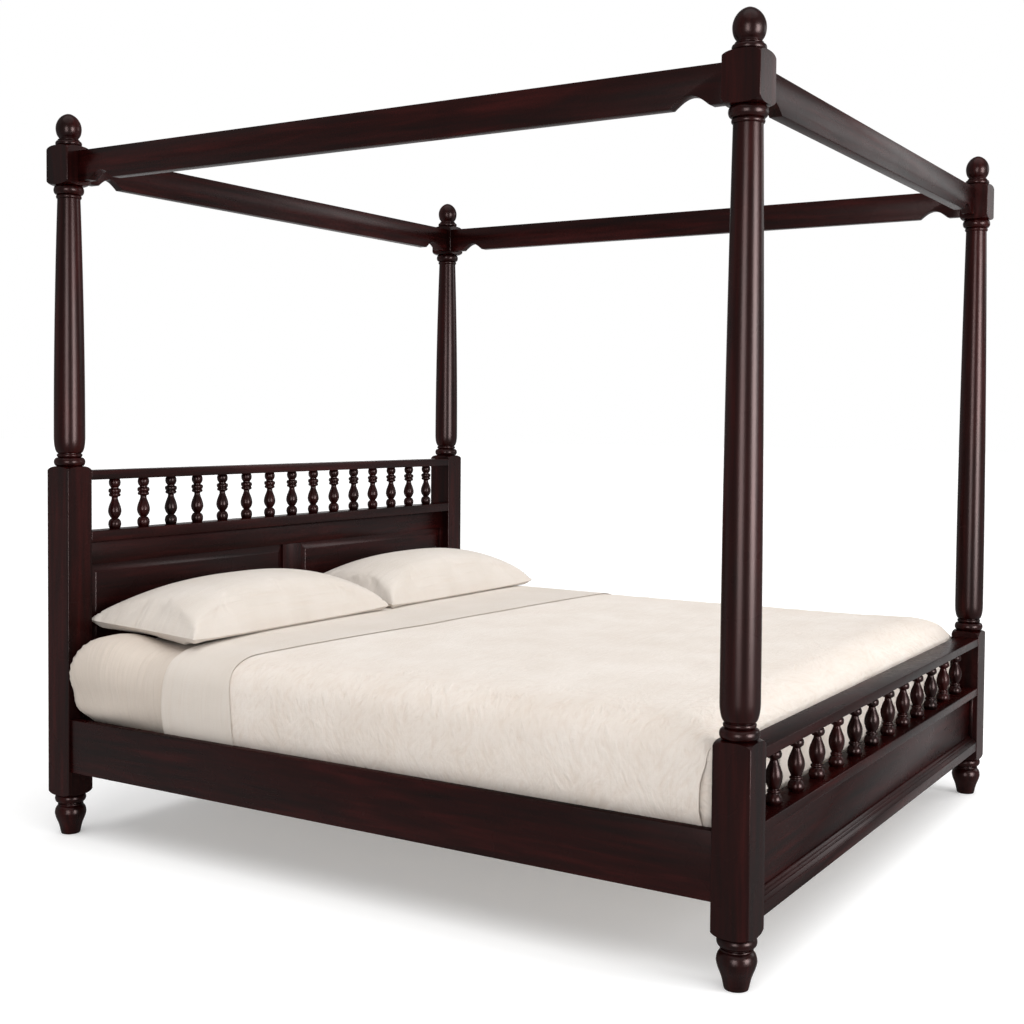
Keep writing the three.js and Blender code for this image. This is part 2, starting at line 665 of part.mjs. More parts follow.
// Centre beam, its leg and the levelling glide

const beamY = [-(ledgerFace - SEAT_GAP), headFrameFront - SEAT_GAP];
add(
  'centre_beam',
  box([-CENTRE_BEAM_WIDTH / 2, CENTRE_BEAM_WIDTH / 2], beamY, [beamBottom, slatBottom - SEAT_GAP])
    .add(beamTenon(1, headFrameFront, headTenonDepth, 0))
    .add(beamTenon(-1, ledgerFace, footTenonDepth, 0)),
  plainWood,
);

const glideTop = GLIDE_FLOOR_GAP + GLIDE_DISC_HEIGHT;
const legBottom = glideTop + GLIDE_TRAVEL_UP + GLIDE_TOP_CLEARANCE;
const stemTop = glideTop + GLIDE_STEM_LENGTH;
const legBoreTop = stemTop + GLIDE_TRAVEL_UP + OVERRUN;
const legBoreRadius = GLIDE_STEM_DIAMETER / 2 + GLIDE_BORE_CLEARANCE;
const legBoreBottom = legBottom - OVERRUN;
const legBore = [
  [0, legBoreBottom], [legBoreRadius, legBoreBottom], [legBoreRadius, legBoreTop], [0, legBoreTop],
];
const legHalf = LEG_SQUARE / 2;
add(
  'centre_leg',
  box([-legHalf, legHalf], [-legHalf, legHalf], [legBottom, beamBottom - SEAT_GAP])
    .subtract(turned(legBore, STEM_SIDES)),
  plainWood,
);
const glideEdge = GLIDE_DISC_DIAMETER / 2;
const stemRadius = GLIDE_STEM_DIAMETER / 2;
const glideOutline = [
  [0, GLIDE_FLOOR_GAP], [glideEdge - OVERRUN, GLIDE_FLOOR_GAP], [glideEdge, GLIDE_FLOOR_GAP + OVERRUN],
  [glideEdge, glideTop - OVERRUN], [glideEdge - OVERRUN, glideTop],
  [stemRadius, glideTop], [stemRadius, stemTop], [0, stemTop],
];
add('levelling_glide', turned(glideOutline, STEM_SIDES), steel);

// Slats, joined into one roll by two webbing tapes

const slatReach = sideRailInner - SLAT_END_CLEARANCE;
const slatRun = innerFaceY - SLAT_WIDTH;
const slatPitch = (slatRun * 2 - SLAT_WIDTH) / (SLAT_COUNT - 1);
const webbingZ = [slatTop - OVERRUN, slatTop + WEBBING_THICKNESS];
const webbingEdge = WEBBING_OFFSET + WEBBING_WIDTH;
let slatRoll = box([WEBBING_OFFSET, webbingEdge], [-slatRun, slatRun], webbingZ)
  .add(box([-webbingEdge, -WEBBING_OFFSET], [-slatRun, slatRun], webbingZ));
for (let i = 0; i < SLAT_COUNT; i += 1) {
  const y0 = -slatRun + slatPitch * i;
  slatRoll = slatRoll.add(box([-slatReach, slatReach], [y0, y0 + SLAT_WIDTH], [slatBottom, slatTop]));
}
add('slat_roll', slatRoll, plainWood);

// Bedding

const mattressBottom = slatTop + WEBBING_THICKNESS + SEAT_GAP;
const mattressTop = mattressBottom + MATTRESS_HEIGHT;

// A rounded rectangle of points at one height, with its sides let out from the mattress's nominal size.
function outlineRing(outX, outY, z) {
  const halfWidth = MATTRESS_WIDTH / 2 + outX;
  const halfLength = MATTRESS_LENGTH / 2 + outY;
  const radius = MATTRESS_CORNER_RADIUS;
  const steps = 4;
  const corners = [
    [halfWidth - radius, halfLength - radius, 0], [-halfWidth + radius, halfLength - radius, 1],
    [-halfWidth + radius, -halfLength + radius, 2], [halfWidth - radius, -halfLength + radius, 3],
  ];
  const points = [];
  for (const [x, y, quarter] of corners) {
    for (let i = 0; i <= steps; i += 1) {
      const turn = Math.PI / 2 * (quarter + i / steps);
      points.push([x + radius * Math.cos(turn), y + radius * Math.sin(turn), z]);
    }
  }
  return points;
}

// Height, rounding and bulge of the mattress's side, from its lower edge to the crown of its top.
const sideShares = [
  [0, 0.75, 0], [0.05, 0.2, 0], [0.13, 0, 0.2], [0.3, 0, 0.85], [0.5, 0, 1], [0.7, 0, 0.8], [0.86, 0.15, 0.4],
  [0.95, 0.6, 0], [1, 1.6, 0],
];

// The mattress, or a form that lies round it by the given growth.
function mattressStack(growth) {
  const rings = sideShares.map(([heightShare, edgeShare, bulgeShare]) => {
    const z = mattressBottom + (MATTRESS_HEIGHT + growth) * heightShare;
    const drawnIn = growth - MATTRESS_EDGE_RADIUS * edgeShare;
    const outX = drawnIn + MATTRESS_SIDE_BULGE * bulgeShare;
    const outY = drawnIn + MATTRESS_END_BULGE * bulgeShare;
    return outlineRing(outX, outY, z);
  });
  return lofted(rings);
}

add('mattress', mattressStack(0), linen);

const coverletTopZ = mattressTop + COVERLET_THICKNESS + OVERRUN;
const coverletReach = MATTRESS_WIDTH / 2 + MATTRESS_SIDE_BULGE + COVERLET_THICKNESS + OVERRUN;
const coverletFoot = MATTRESS_LENGTH / 2 + MATTRESS_END_BULGE + COVERLET_THICKNESS + OVERRUN;
const keepBox = box(
  [-coverletReach, coverletReach],
  [-coverletFoot, MATTRESS_LENGTH / 2 - COVERLET_HEAD_SETBACK],
  [SIDE_RAIL_TOP - COVERLET_HEM_DROP, coverletTopZ],
);
add(
  'coverlet',
  mattressStack(COVERLET_THICKNESS).intersect(keepBox).subtract(mattressStack(SEAT_GAP)),
  linen,
);

const pillowWidth = MATTRESS_WIDTH / 2 - PILLOW_SIDE_MARGIN - PILLOW_PAIR_GAP / 2;

// A pillow: a crowned form whose sides pull in between its pointed corners.
function pillowSolid(x, y, z) {
  const across = 12;
  const deep = 8;
  const drawIn = PILLOW_DEPTH / 16;
  const lowShare = 0.19;
  const edgeShare = 0.06;
  const upperFullness = 0.5;
  const lowerFullness = 1;
  const point = (i, j, upper) => {
    const a = i / across * 2 - 1;
    const b = j / deep * 2 - 1;
    const swell = ((1 - a ** 4) * (1 - b ** 4)) ** (upper ? upperFullness : lowerFullness);
    const px = a * (pillowWidth / 2 - drawIn * (1 - b * b));
    const py = b * (PILLOW_DEPTH / 2 - drawIn * (1 - a * a));
    const height = upper ? PILLOW_THICKNESS * (1 - lowShare) : -PILLOW_THICKNESS * lowShare;
    const rim = upper ? PILLOW_THICKNESS * edgeShare / 2 : -PILLOW_THICKNESS * edgeShare / 2;
    return [px, py, rim + (height - rim) * swell];
  };
  const positions = [];
  const quad = (p, q, r, s) => positions.push(...p, ...q, ...r, ...p, ...r, ...s);
  const seam = ([i, j], [k, l]) => {
    quad(point(i, j, false), point(k, l, false), point(k, l, true), point(i, j, true));
  };
  for (let i = 0; i < across; i += 1) {
    for (let j = 0; j < deep; j += 1) {
      quad(point(i, j, true), point(i + 1, j, true), point(i + 1, j + 1, true), point(i, j + 1, true));
      quad(point(i, j, false), point(i, j + 1, false), point(i + 1, j + 1, false), point(i + 1, j, false));
    }
    seam([i, 0], [i + 1, 0]);
    seam([i + 1, deep], [i, deep]);
  }
  for (let j = 0; j < deep; j += 1) {
    seam([0, j + 1], [0, j]);
    seam([across, j], [across, j + 1]);
  }
  const geometry = new THREE.BufferGeometry();
  geometry.setAttribute('position', new THREE.Float32BufferAttribute(positions, 3));
  geometry.translate(x, y, z + PILLOW_THICKNESS * lowShare);
  return solidOf(geometry);
}

const pillowX = pillowWidth / 2 + PILLOW_PAIR_GAP / 2;
const pillowY = headFrameFront - PILLOW_HEAD_GAP - PILLOW_DEPTH / 2;
const pillowZ = mattressTop + SEAT_GAP;
add('pillow_left', pillowSolid(-pillowX, pillowY, pillowZ), linen);
add('pillow_right', pillowSolid(pillowX, pillowY, pillowZ), linen);

export default bed;
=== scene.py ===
"""A king-size canopy bed in dark polished wood with linen bedding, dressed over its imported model."""

from __future__ import annotations

import json
import logging
import math
from collections.abc import Callable, Iterator, Sequence
from contextlib import contextmanager
from dataclasses import dataclass
from enum import Enum
from itertools import pairwise

import bmesh
import bpy
import numpy as np
from mathutils import Matrix, Vector, noise

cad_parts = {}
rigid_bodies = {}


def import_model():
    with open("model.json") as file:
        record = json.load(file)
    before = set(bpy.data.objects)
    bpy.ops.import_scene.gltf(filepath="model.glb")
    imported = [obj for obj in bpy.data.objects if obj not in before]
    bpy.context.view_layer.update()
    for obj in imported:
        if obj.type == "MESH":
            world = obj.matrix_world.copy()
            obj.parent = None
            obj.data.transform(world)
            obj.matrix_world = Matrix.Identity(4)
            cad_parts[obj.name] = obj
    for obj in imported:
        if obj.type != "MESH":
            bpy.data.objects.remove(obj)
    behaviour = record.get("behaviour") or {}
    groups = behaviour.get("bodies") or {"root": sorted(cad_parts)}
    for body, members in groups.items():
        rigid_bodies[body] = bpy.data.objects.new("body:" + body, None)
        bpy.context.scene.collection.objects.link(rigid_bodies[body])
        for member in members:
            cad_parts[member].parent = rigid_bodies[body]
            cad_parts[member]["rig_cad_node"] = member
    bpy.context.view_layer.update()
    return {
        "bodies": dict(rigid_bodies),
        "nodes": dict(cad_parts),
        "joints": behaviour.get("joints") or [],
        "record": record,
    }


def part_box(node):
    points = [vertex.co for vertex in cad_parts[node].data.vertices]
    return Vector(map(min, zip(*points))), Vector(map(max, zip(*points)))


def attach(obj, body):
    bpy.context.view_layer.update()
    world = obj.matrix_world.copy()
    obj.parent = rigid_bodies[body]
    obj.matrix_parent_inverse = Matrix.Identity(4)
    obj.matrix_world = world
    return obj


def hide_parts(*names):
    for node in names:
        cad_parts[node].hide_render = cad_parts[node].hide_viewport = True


MM = 0.001
BODY = "frame"
WELD = 0.02 * MM
EVEN = (1.0, 1.0, 1.0)
WAVE_LENGTH = 0.314

Colour = tuple[float, float, float]
Point = tuple[float, float, float]
Span = tuple[float, float]
Line = Sequence[tuple[float, float]]
Number = float | np.ndarray
Mesh = bpy.types.Object
Node = bpy.types.Node
Socket = bpy.types.NodeSocket

log = logging.getLogger("canopy_bed")


# Choices


class Grain(Enum):
    """The axis that the grain of a length of wood follows, as stretch factors across and along it."""

    X = (1.0, 13.0, 13.0)
    Y = (13.0, 1.0, 13.0)
    Z = (13.0, 13.0, 1.0)


class Side(Enum):
    """The two long sides of the bed, by the sign of X."""

    LEFT = -1
    RIGHT = 1


class End(Enum):
    """The two ends of the bed, by the sign of Y."""

    FOOT = -1
    HEAD = 1


class Slot(Enum):
    """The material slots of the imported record."""

    DARK_WOOD = "dark_wood"
    PLAIN_WOOD = "plain_wood"
    LINEN = "linen"
    STEEL = "steel"


# Finishes


class Nodes:
    """A node tree while it is being wired."""

    def __init__(self, tree: bpy.types.NodeTree) -> None:
        """Take over a tree and empty it."""
        self.tree = tree
        tree.nodes.clear()

    def add(self, kind: str, inputs: dict[str | int, object] | None = None, **settings: object) -> Node:
        """Add a node, set it up and wire it.

        Args:
            kind: the node's type.
            inputs: a value or an output socket for each named input.
            settings: the node's own properties.

        Returns:
            The node.
        """
        node = self.tree.nodes.new(kind)
        for key, value in settings.items():
            setattr(node, key, value)
        for key, value in (inputs or {}).items():
            self.wire(value, node.inputs[key])
        return node

    def wire(self, value: object, socket: Socket) -> None:
        """Give an input a value, or link it where the value is a socket.

        Args:
            value: the value or the output socket.
            socket: the input.
        """
        if isinstance(value, bpy.types.NodeSocket):
            self.tree.links.new(value, socket)
        else:
            socket.default_value = value

    def reckon(self, operation: str, *values: object) -> Socket:
        """Do one sum on up to three values."""
        return self.add("ShaderNodeMath", dict(enumerate(values)), operation=operation).outputs["Value"]

    def spread(self, value: Socket, low: float, high: float, start: float = 0.0, stop: float = 1.0) -> Socket:
        """Map a value from start..stop to low..high, held at both ends."""
        inputs = {"Value": value, "From Min": start, "From Max": stop, "To Min": low, "To Max": high}
        return self.add("ShaderNodeMapRange", inputs).outputs["Result"]

    def seen(self) -> Socket:
        """Give 1 to rays from the camera, off gloss or through glass, and 0 to light on matt surfaces."""
        rays = self.add("ShaderNodeLightPath").outputs
        sharp = self.reckon("MAXIMUM", rays["Is Camera Ray"], rays["Is Glossy Ray"])
        return self.reckon("MAXIMUM", sharp, rays["Is Transmission Ray"])


class Recipe(Nodes):
    """A node material while it is being mixed."""

    def __init__(self, name: str) -> None:
        """Start a material that holds a principled shader and its output.

        Args:
            name: the finish's name.
        """
        self.material = bpy.data.materials.new(name)
        self.material.use_nodes = True
        super().__init__(self.material.node_tree)
        self.shader = self.add("ShaderNodeBsdfPrincipled")
        self.add("ShaderNodeOutputMaterial", {"Surface": self.shader.outputs["BSDF"]})

    def set(self, **inputs: object) -> None:
        """Set the shader's inputs, named with underscores for their spaces."""
        for key, value in inputs.items():
            self.wire(value, self.shader.inputs[key.replace("_", " ")])

    def place(self, scale: Point, from_uv: bool = False, turn: float = 0.0) -> Socket:
        """Read the object's own coordinates or its UV map, turned and then scaled.

        Args:
            scale: the factors along the three axes.
            from_uv: read the UV map, which is in metres of flat cloth.
            turn: a turn in the plane of the first two axes, in radians.

        Returns:
            The scaled coordinates.
        """
        source = self.add("ShaderNodeTexCoord").outputs["UV" if from_uv else "Object"]
        size = tuple(1 / factor for factor in scale)
        inputs = {"Vector": source, "Scale": size, "Rotation": (0.0, 0.0, turn)}
        return self.add("ShaderNodeMapping", inputs, vector_type="TEXTURE").outputs["Vector"]

    def grain(self, place: Socket, scale: float, detail: float = 3.0, bend: float = 0.0) -> Socket:
        """Add a noise pattern and return its value, from 0 to 1."""
        inputs = {"Vector": place, "Scale": scale, "Detail": detail, "Distortion": bend}
        return self.add("ShaderNodeTexNoise", inputs).outputs["Fac"]

    def wave(self, place: Socket, scale: float, along: str = "X") -> Socket:
        """Add even waves along one axis and return their value, from 0 to 1."""
        inputs = {"Vector": place, "Scale": scale}
        return self.add("ShaderNodeTexWave", inputs, bands_direction=along).outputs["Fac"]

    def ramp(self, value: Socket, stops: Sequence[tuple[float, Colour]]) -> Socket:
        """Turn a value into a colour through a ramp.

        Args:
            value: the value, from 0 to 1.
            stops: (place, colour) stops of the ramp.

        Returns:
            The colour.
        """
        node = self.add("ShaderNodeValToRGB", {"Fac": value})
        elements = node.color_ramp.elements
        while len(elements) < len(stops):
            elements.new(0.5)
        for element, (at, colour) in zip(elements, stops):
            element.position = at
            element.color = (*colour, 1.0)
        return node.outputs["Color"]

    def mix(self, share: object, first: object, second: object) -> Socket:
        """Mix two colours.

        Args:
            share: the second colour's share.
            first: the first colour.
            second: the second colour.

        Returns:
            The mixed colour.
        """
        node = self.add("ShaderNodeMix", data_type="RGBA")
        for socket, value in zip((node.inputs[0], node.inputs[6], node.inputs[7]), (share, first, second)):
            self.wire((*value, 1.0) if isinstance(value, tuple) else value, socket)
        return node.outputs[2]

    def relief(
        self, height: Socket, depth: float | Socket, strength: float = 1.0, under: Socket | None = None
    ) -> Socket:
        """Make a bump from a height.

        Args:
            height: the height, from 0 to 1.
            depth: what a height of 1 stands for, in metres.
            strength: how much of the bump shows.
            under: the normal of a bump below this one.

        Returns:
            The bumped normal.
        """
        inputs = {"Height": height, "Distance": depth, "Strength": strength}
        if under is not None:
            inputs["Normal"] = under
        return self.add("ShaderNodeBump", inputs).outputs["Normal"]


@dataclass(frozen=True)
class Finish:
    """What every finish shares: a name, the record's slot and a material that is mixed once."""

    name: str
    slot: Slot

    def mixed(self) -> bpy.types.Material:
        """Return the finish's material, and mix it the first time it is asked for."""
        return bpy.data.materials.get(self.name) or self.mix()

    def mix(self) -> bpy.types.Material:
        """Mix the material."""
        raise NotImplementedError

    def dress(self, piece: Mesh) -> None:
        """Give a piece this finish as its only material.

        Args:
            piece: a new piece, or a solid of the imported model, which has its slot already.
        """
        piece.data.materials.clear()
        piece.data.materials.append(self.mixed())
        "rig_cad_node" not in piece


@dataclass(frozen=True)
class PolishedWood(Finish):
    """Dark red-brown wood under a satin lacquer, with its grain along one axis."""

    slot: Slot = Slot.DARK_WOOD
    along: Grain = Grain.Z
    pore: Colour = (0.004, 0.001, 0.0009)
    ground: Colour = (0.0127, 0.0016, 0.0014)
    heart: Colour = (0.036, 0.0045, 0.004)
    sheen: Colour = (1.0, 0.78, 0.76)
    gloss: float = 0.08
    edge_gloss: float = 0.01
    figure_share: float = 0.55
    pore_depth: float = 0.06 * MM

    def mix(self) -> bpy.types.Material:
        """Mix the lacquered wood: figure, streaks, pores, and a faintly uneven lacquer.

        Returns:
            The material.
        """
        recipe = Recipe(self.name)
        place = recipe.place(self.along.value)
        figure = recipe.reckon("MULTIPLY", recipe.grain(place, 1.1, 2.0, 0.8), self.figure_share)
        streaks = recipe.reckon("MULTIPLY", recipe.grain(place, 5.0, 4.0, 0.35), 1 - self.figure_share)
        pores = recipe.grain(place, 38.0, 2.0)
        stops = [(0.36, self.pore), (0.52, self.ground), (0.74, self.heart)]
        colour = recipe.ramp(recipe.reckon("ADD", figure, streaks), stops)
        edge_on = recipe.add("ShaderNodeLayerWeight", {"Blend": 0.5}).outputs["Facing"]
        recipe.set(
            Base_Color=recipe.mix(recipe.spread(pores, 0.0, 0.3, 0.58, 0.72), colour, self.pore),
            Roughness=recipe.spread(recipe.grain(recipe.place(EVEN), 9.0, 2.0), 0.24, 0.31),
            Specular_IOR_Level=recipe.spread(edge_on, self.gloss, self.edge_gloss, 0.32, 0.6),
            Specular_Tint=(*self.sheen, 1.0),
            Normal=recipe.relief(pores, self.pore_depth, 0.5),
        )
        return recipe.material


@dataclass(frozen=True)
class BareWood(Finish):
    """Pale planed wood of the hidden underframe."""

    slot: Slot = Slot.PLAIN_WOOD
    along: Grain = Grain.X
    rings: tuple[tuple[float, Colour], ...] = (
        (0.35, (0.46, 0.31, 0.17)), (0.55, (0.56, 0.4, 0.235)), (0.7, (0.4, 0.25, 0.13))
    )
    fibre: Colour = (0.3, 0.18, 0.09)
    fibre_depth: float = 0.2 * MM

    def coloured(self, recipe: Recipe, place: Socket, fibres: Socket) -> Socket:
        """Mix the wood's own colour, of growth rings under darker fibres.

        Args:
            recipe: the material being mixed.
            place: the coordinates that the grain follows.
            fibres: the pattern of the fibres.

        Returns:
            The colour.
        """
        colour = recipe.ramp(recipe.grain(place, 3.0, 3.0, 0.6), self.rings)
        return recipe.mix(recipe.spread(fibres, 0.0, 0.22, 0.5, 0.75), colour, self.fibre)

    def mix(self) -> bpy.types.Material:
        """Mix the bare wood: growth rings, fibres and a dry surface.

        Returns:
            The material.
        """
        recipe = Recipe(self.name)
        place = recipe.place(self.along.value)
        fibres = recipe.grain(place, 30.0, 3.0)
        recipe.set(
            Base_Color=self.coloured(recipe, place, fibres),
            Roughness=recipe.spread(fibres, 0.6, 0.75),
            Specular_IOR_Level=0.3,
            Normal=recipe.relief(fibres, self.fibre_depth, 0.6),
        )
        return recipe.material


@dataclass(frozen=True)
class TapedSlats(BareWood):
    """Bare slats whose two woven tapes lie across them at fixed places."""

    tape_inner: float = 520 * MM
    tape_width: float = 30 * MM
    tape: Colour = (0.56, 0.54, 0.5)
    shade: float = 0.7
    weave: float = 90.0

    def coloured(self, recipe: Recipe, place: Socket, fibres: Socket) -> Socket:
        """Lay the tapes' weave over the wood, by its distance from the middle of the bed.

        Args:
            recipe: the material being mixed.
            place: the coordinates that the grain follows.
            fibres: the pattern of the fibres.

        Returns:
            The colour.
        """
        wood = super().coloured(recipe, place, fibres)
        own = recipe.place(EVEN)
        distance = recipe.reckon("ABSOLUTE", recipe.add("ShaderNodeSeparateXYZ", {0: own}).outputs["X"])
        half = self.tape_width / 2
        band = recipe.reckon("COMPARE", distance, self.tape_inner + half, half)
        shaded = tuple(self.shade * part for part in self.tape)
        return recipe.mix(band, wood, recipe.mix(recipe.wave(own, self.weave), shaded, self.tape))


@dataclass(frozen=True)
class Linen(Finish):
    """Washed linen, woven plain, with slubs in both threads. Its UV map is in metres of flat cloth."""

    slot: Slot = Slot.LINEN
    light: Colour = (0.665, 0.605, 0.55)
    dark: Colour = (0.62, 0.555, 0.49)
    slub: Colour = (0.62, 0.54, 0.46)
    # Painted shade: the colour that creases, crinkles and hanging cloth are darkened towards.
    painted_shade: Colour = (0.6, 0.47, 0.375)
    thread: float = 1.4 * MM
    thread_depth: float = 0.25 * MM
    slub_depth: float = 0.5 * MM
    slub_stretch: float = 14.0
    crease: float = 0.5 * MM
    crinkle: float = 0.0
    turn_x: float = 0.867
    turn_y: float = 0.892

    def mix(self) -> bpy.types.Material:
        """Mix the cloth: threads, slubs, a soft change of tone, painted shade in its creases, and crinkles
        where it has them.

        Returns:
            The material.
        """
        recipe = Recipe(self.name)
        plain = recipe.place(EVEN, from_uv=True)
        along, across = (
            recipe.grain(recipe.place(scale, from_uv=True), 24.0, 3.0)
            for scale in ((1.0, self.slub_stretch, 1.0), (self.slub_stretch, 1.0, 1.0))
        )
        slubs = recipe.reckon("ADD", along, across)
        tone = recipe.grain(plain, 5.0, 3.0)
        colour = recipe.mix(recipe.spread(tone, 0.0, 1.0, 0.3, 0.7), self.dark, self.light)
        colour = recipe.mix(recipe.spread(slubs, 0.0, 0.16, 0.95, 1.35), colour, self.slub)
        warp, weft = (recipe.wave(plain, WAVE_LENGTH / self.thread, way) for way in "XY")
        normal = recipe.relief(recipe.reckon("MULTIPLY", warp, weft), self.thread_depth, 0.35)
        normal = recipe.relief(slubs, self.slub_depth, 0.35, normal)
        streaks = recipe.grain(recipe.place((5.0, 75.0, 1.0), from_uv=True), 1.0, 3.0, 0.5)
        normal = recipe.relief(streaks, self.crease * 4, 0.8, normal)
        # Painted shade: the creases' valleys are darkened towards the shade colour.
        colour = recipe.mix(recipe.spread(streaks, 0.1, 0.0, 0.3, 0.5), colour, self.painted_shade)
        if self.crinkle:
            colour, normal = self.crinkled(recipe, colour, normal)
        recipe.set(
            Base_Color=colour,
            Roughness=recipe.spread(slubs, 0.82, 0.95, 0.7, 1.3),
            Specular_IOR_Level=0.2,
            Sheen_Weight=0.12,
            Sheen_Roughness=0.5,
            Normal=normal,
        )
        return recipe.material

    def hanging(self, recipe: Recipe) -> Socket:
        """Find where the cloth hangs past the bed's side or foot.

        Args:
            recipe: the material being mixed.

        Returns:
            1 where it hangs, and less on the bed's top.
        """
        flat = recipe.add("ShaderNodeSeparateXYZ", {0: recipe.place(EVEN, from_uv=True)}).outputs
        past_side = recipe.reckon("SUBTRACT", recipe.reckon("ABSOLUTE", flat["X"]), self.turn_x)
        past_foot = recipe.reckon("SUBTRACT", recipe.reckon("MULTIPLY", flat["Y"], -1.0), self.turn_y)
        return recipe.spread(recipe.reckon("MAXIMUM", past_side, past_foot), 0.22, 1.0, -0.12, 0.09)

    def crinkled(self, recipe: Recipe, colour: Socket, under: Socket) -> tuple[Socket, Socket]:
        """Add the washed-in crinkles, with painted shade in their valleys, and painted shade over the cloth
        where it hangs.

        The puffs are long across the bed, and so run down its sides, and lean to one side or
        the other in patches. A finer layer lies over the first.

        Args:
            recipe: the material being mixed.
            colour: the colour before the crinkles.
            under: the normal below the crinkles.

        Returns:
            The colour and the normal with the crinkles.
        """
        hang = self.hanging(recipe)
        patches = recipe.grain(recipe.place((8.0, 9.0, 1.0), from_uv=True), 1.0, 2.0)
        patch = recipe.spread(patches, 0.0, 1.0, 0.42, 0.58)
        rest = recipe.reckon("SUBTRACT", 1.0, patch)
        for share, run, across, lean in ((1.0, 21.0, 56.0, 0.45), (0.5, 38.0, 104.0, 0.3)):
            one, other = (
                recipe.grain(recipe.place((run, across, 1.0), from_uv=True, turn=turn), 1.0, 2.0, 0.4)
                for turn in (lean, -1.2 * lean)
            )
            one, other = recipe.reckon("MULTIPLY", one, patch), recipe.reckon("MULTIPLY", other, rest)
            height = recipe.reckon("ADD", one, other)
            under = recipe.relief(height, recipe.reckon("MULTIPLY", hang, self.crinkle * share), 1.0, under)
            # Painted shade in the crinkles' valleys, deeper where the cloth hangs.
            shade = recipe.spread(height, 0.2 * share, 0.0, 0.34, 0.52)
            colour = recipe.mix(recipe.reckon("MULTIPLY", shade, hang), colour, self.painted_shade)
        # Painted shade over all the hanging cloth, which darkens the bed's sides and foot.
        return recipe.mix(recipe.reckon("MULTIPLY", hang, 0.13), colour, self.painted_shade), under


@dataclass(frozen=True)
class BrushedSteel(Finish):
    """Zinc-plated steel with fine turning marks."""

    slot: Slot = Slot.STEEL
    dull: Colour = (0.33, 0.34, 0.35)
    bright: Colour = (0.5, 0.51, 0.52)
    mark_depth: float = 0.05 * MM

    def mix(self) -> bpy.types.Material:
        """Mix the steel: a mottled plating over fine marks.

        Returns:
            The material.
        """
        recipe = Recipe(self.name)
        mottle = recipe.grain(recipe.place(EVEN), 160.0, 3.0)
        marks = recipe.grain(recipe.place((1.0, 1.0, 40.0)), 60.0, 2.0)
        recipe.set(
            Base_Color=recipe.ramp(mottle, [(0.35, self.dull), (0.65, self.bright)]),
            Metallic=1.0,
            Roughness=recipe.spread(mottle, 0.3, 0.48),
            Normal=recipe.relief(marks, self.mark_depth, 0.4),
        )
        return recipe.material


WOOD = {axis: PolishedWood(f"polished_wood_{axis.name.lower()}", along=axis) for axis in Grain}
BEAM_WOOD = BareWood("bare_wood_y", along=Grain.Y)
CROSS_WOOD = BareWood("bare_wood_x", along=Grain.X)
LEG_WOOD = BareWood("bare_wood_z", along=Grain.Z)
SLAT_WOOD = TapedSlats("taped_slats", along=Grain.X)
SMOOTH_LINEN = Linen("smooth_linen")
PILLOW_LINEN = Linen("pillow_linen", light=(0.66, 0.604, 0.552), dark=(0.605, 0.545, 0.485), crease=0.9 * MM)
# Painted shade: the fitted sheet's linen is written darker than the rest, for the shade it lies in at the head
# of the bed.
SHADED_FITTED_LINEN = Linen("fitted_linen", light=(0.605, 0.53, 0.465), dark=(0.555, 0.48, 0.41), crease=1.3 * MM)
CRINKLED_LINEN = Linen(
    "crinkled_linen", light=(0.785, 0.725, 0.668), dark=(0.725, 0.655, 0.59), crinkle=4.2 * MM
)
LINEN_TICKING = Linen("mattress_ticking", light=(0.78, 0.76, 0.72), dark=(0.74, 0.71, 0.66), thread=2.0 * MM)
STEEL = BrushedSteel("plated_steel")


# Workbench


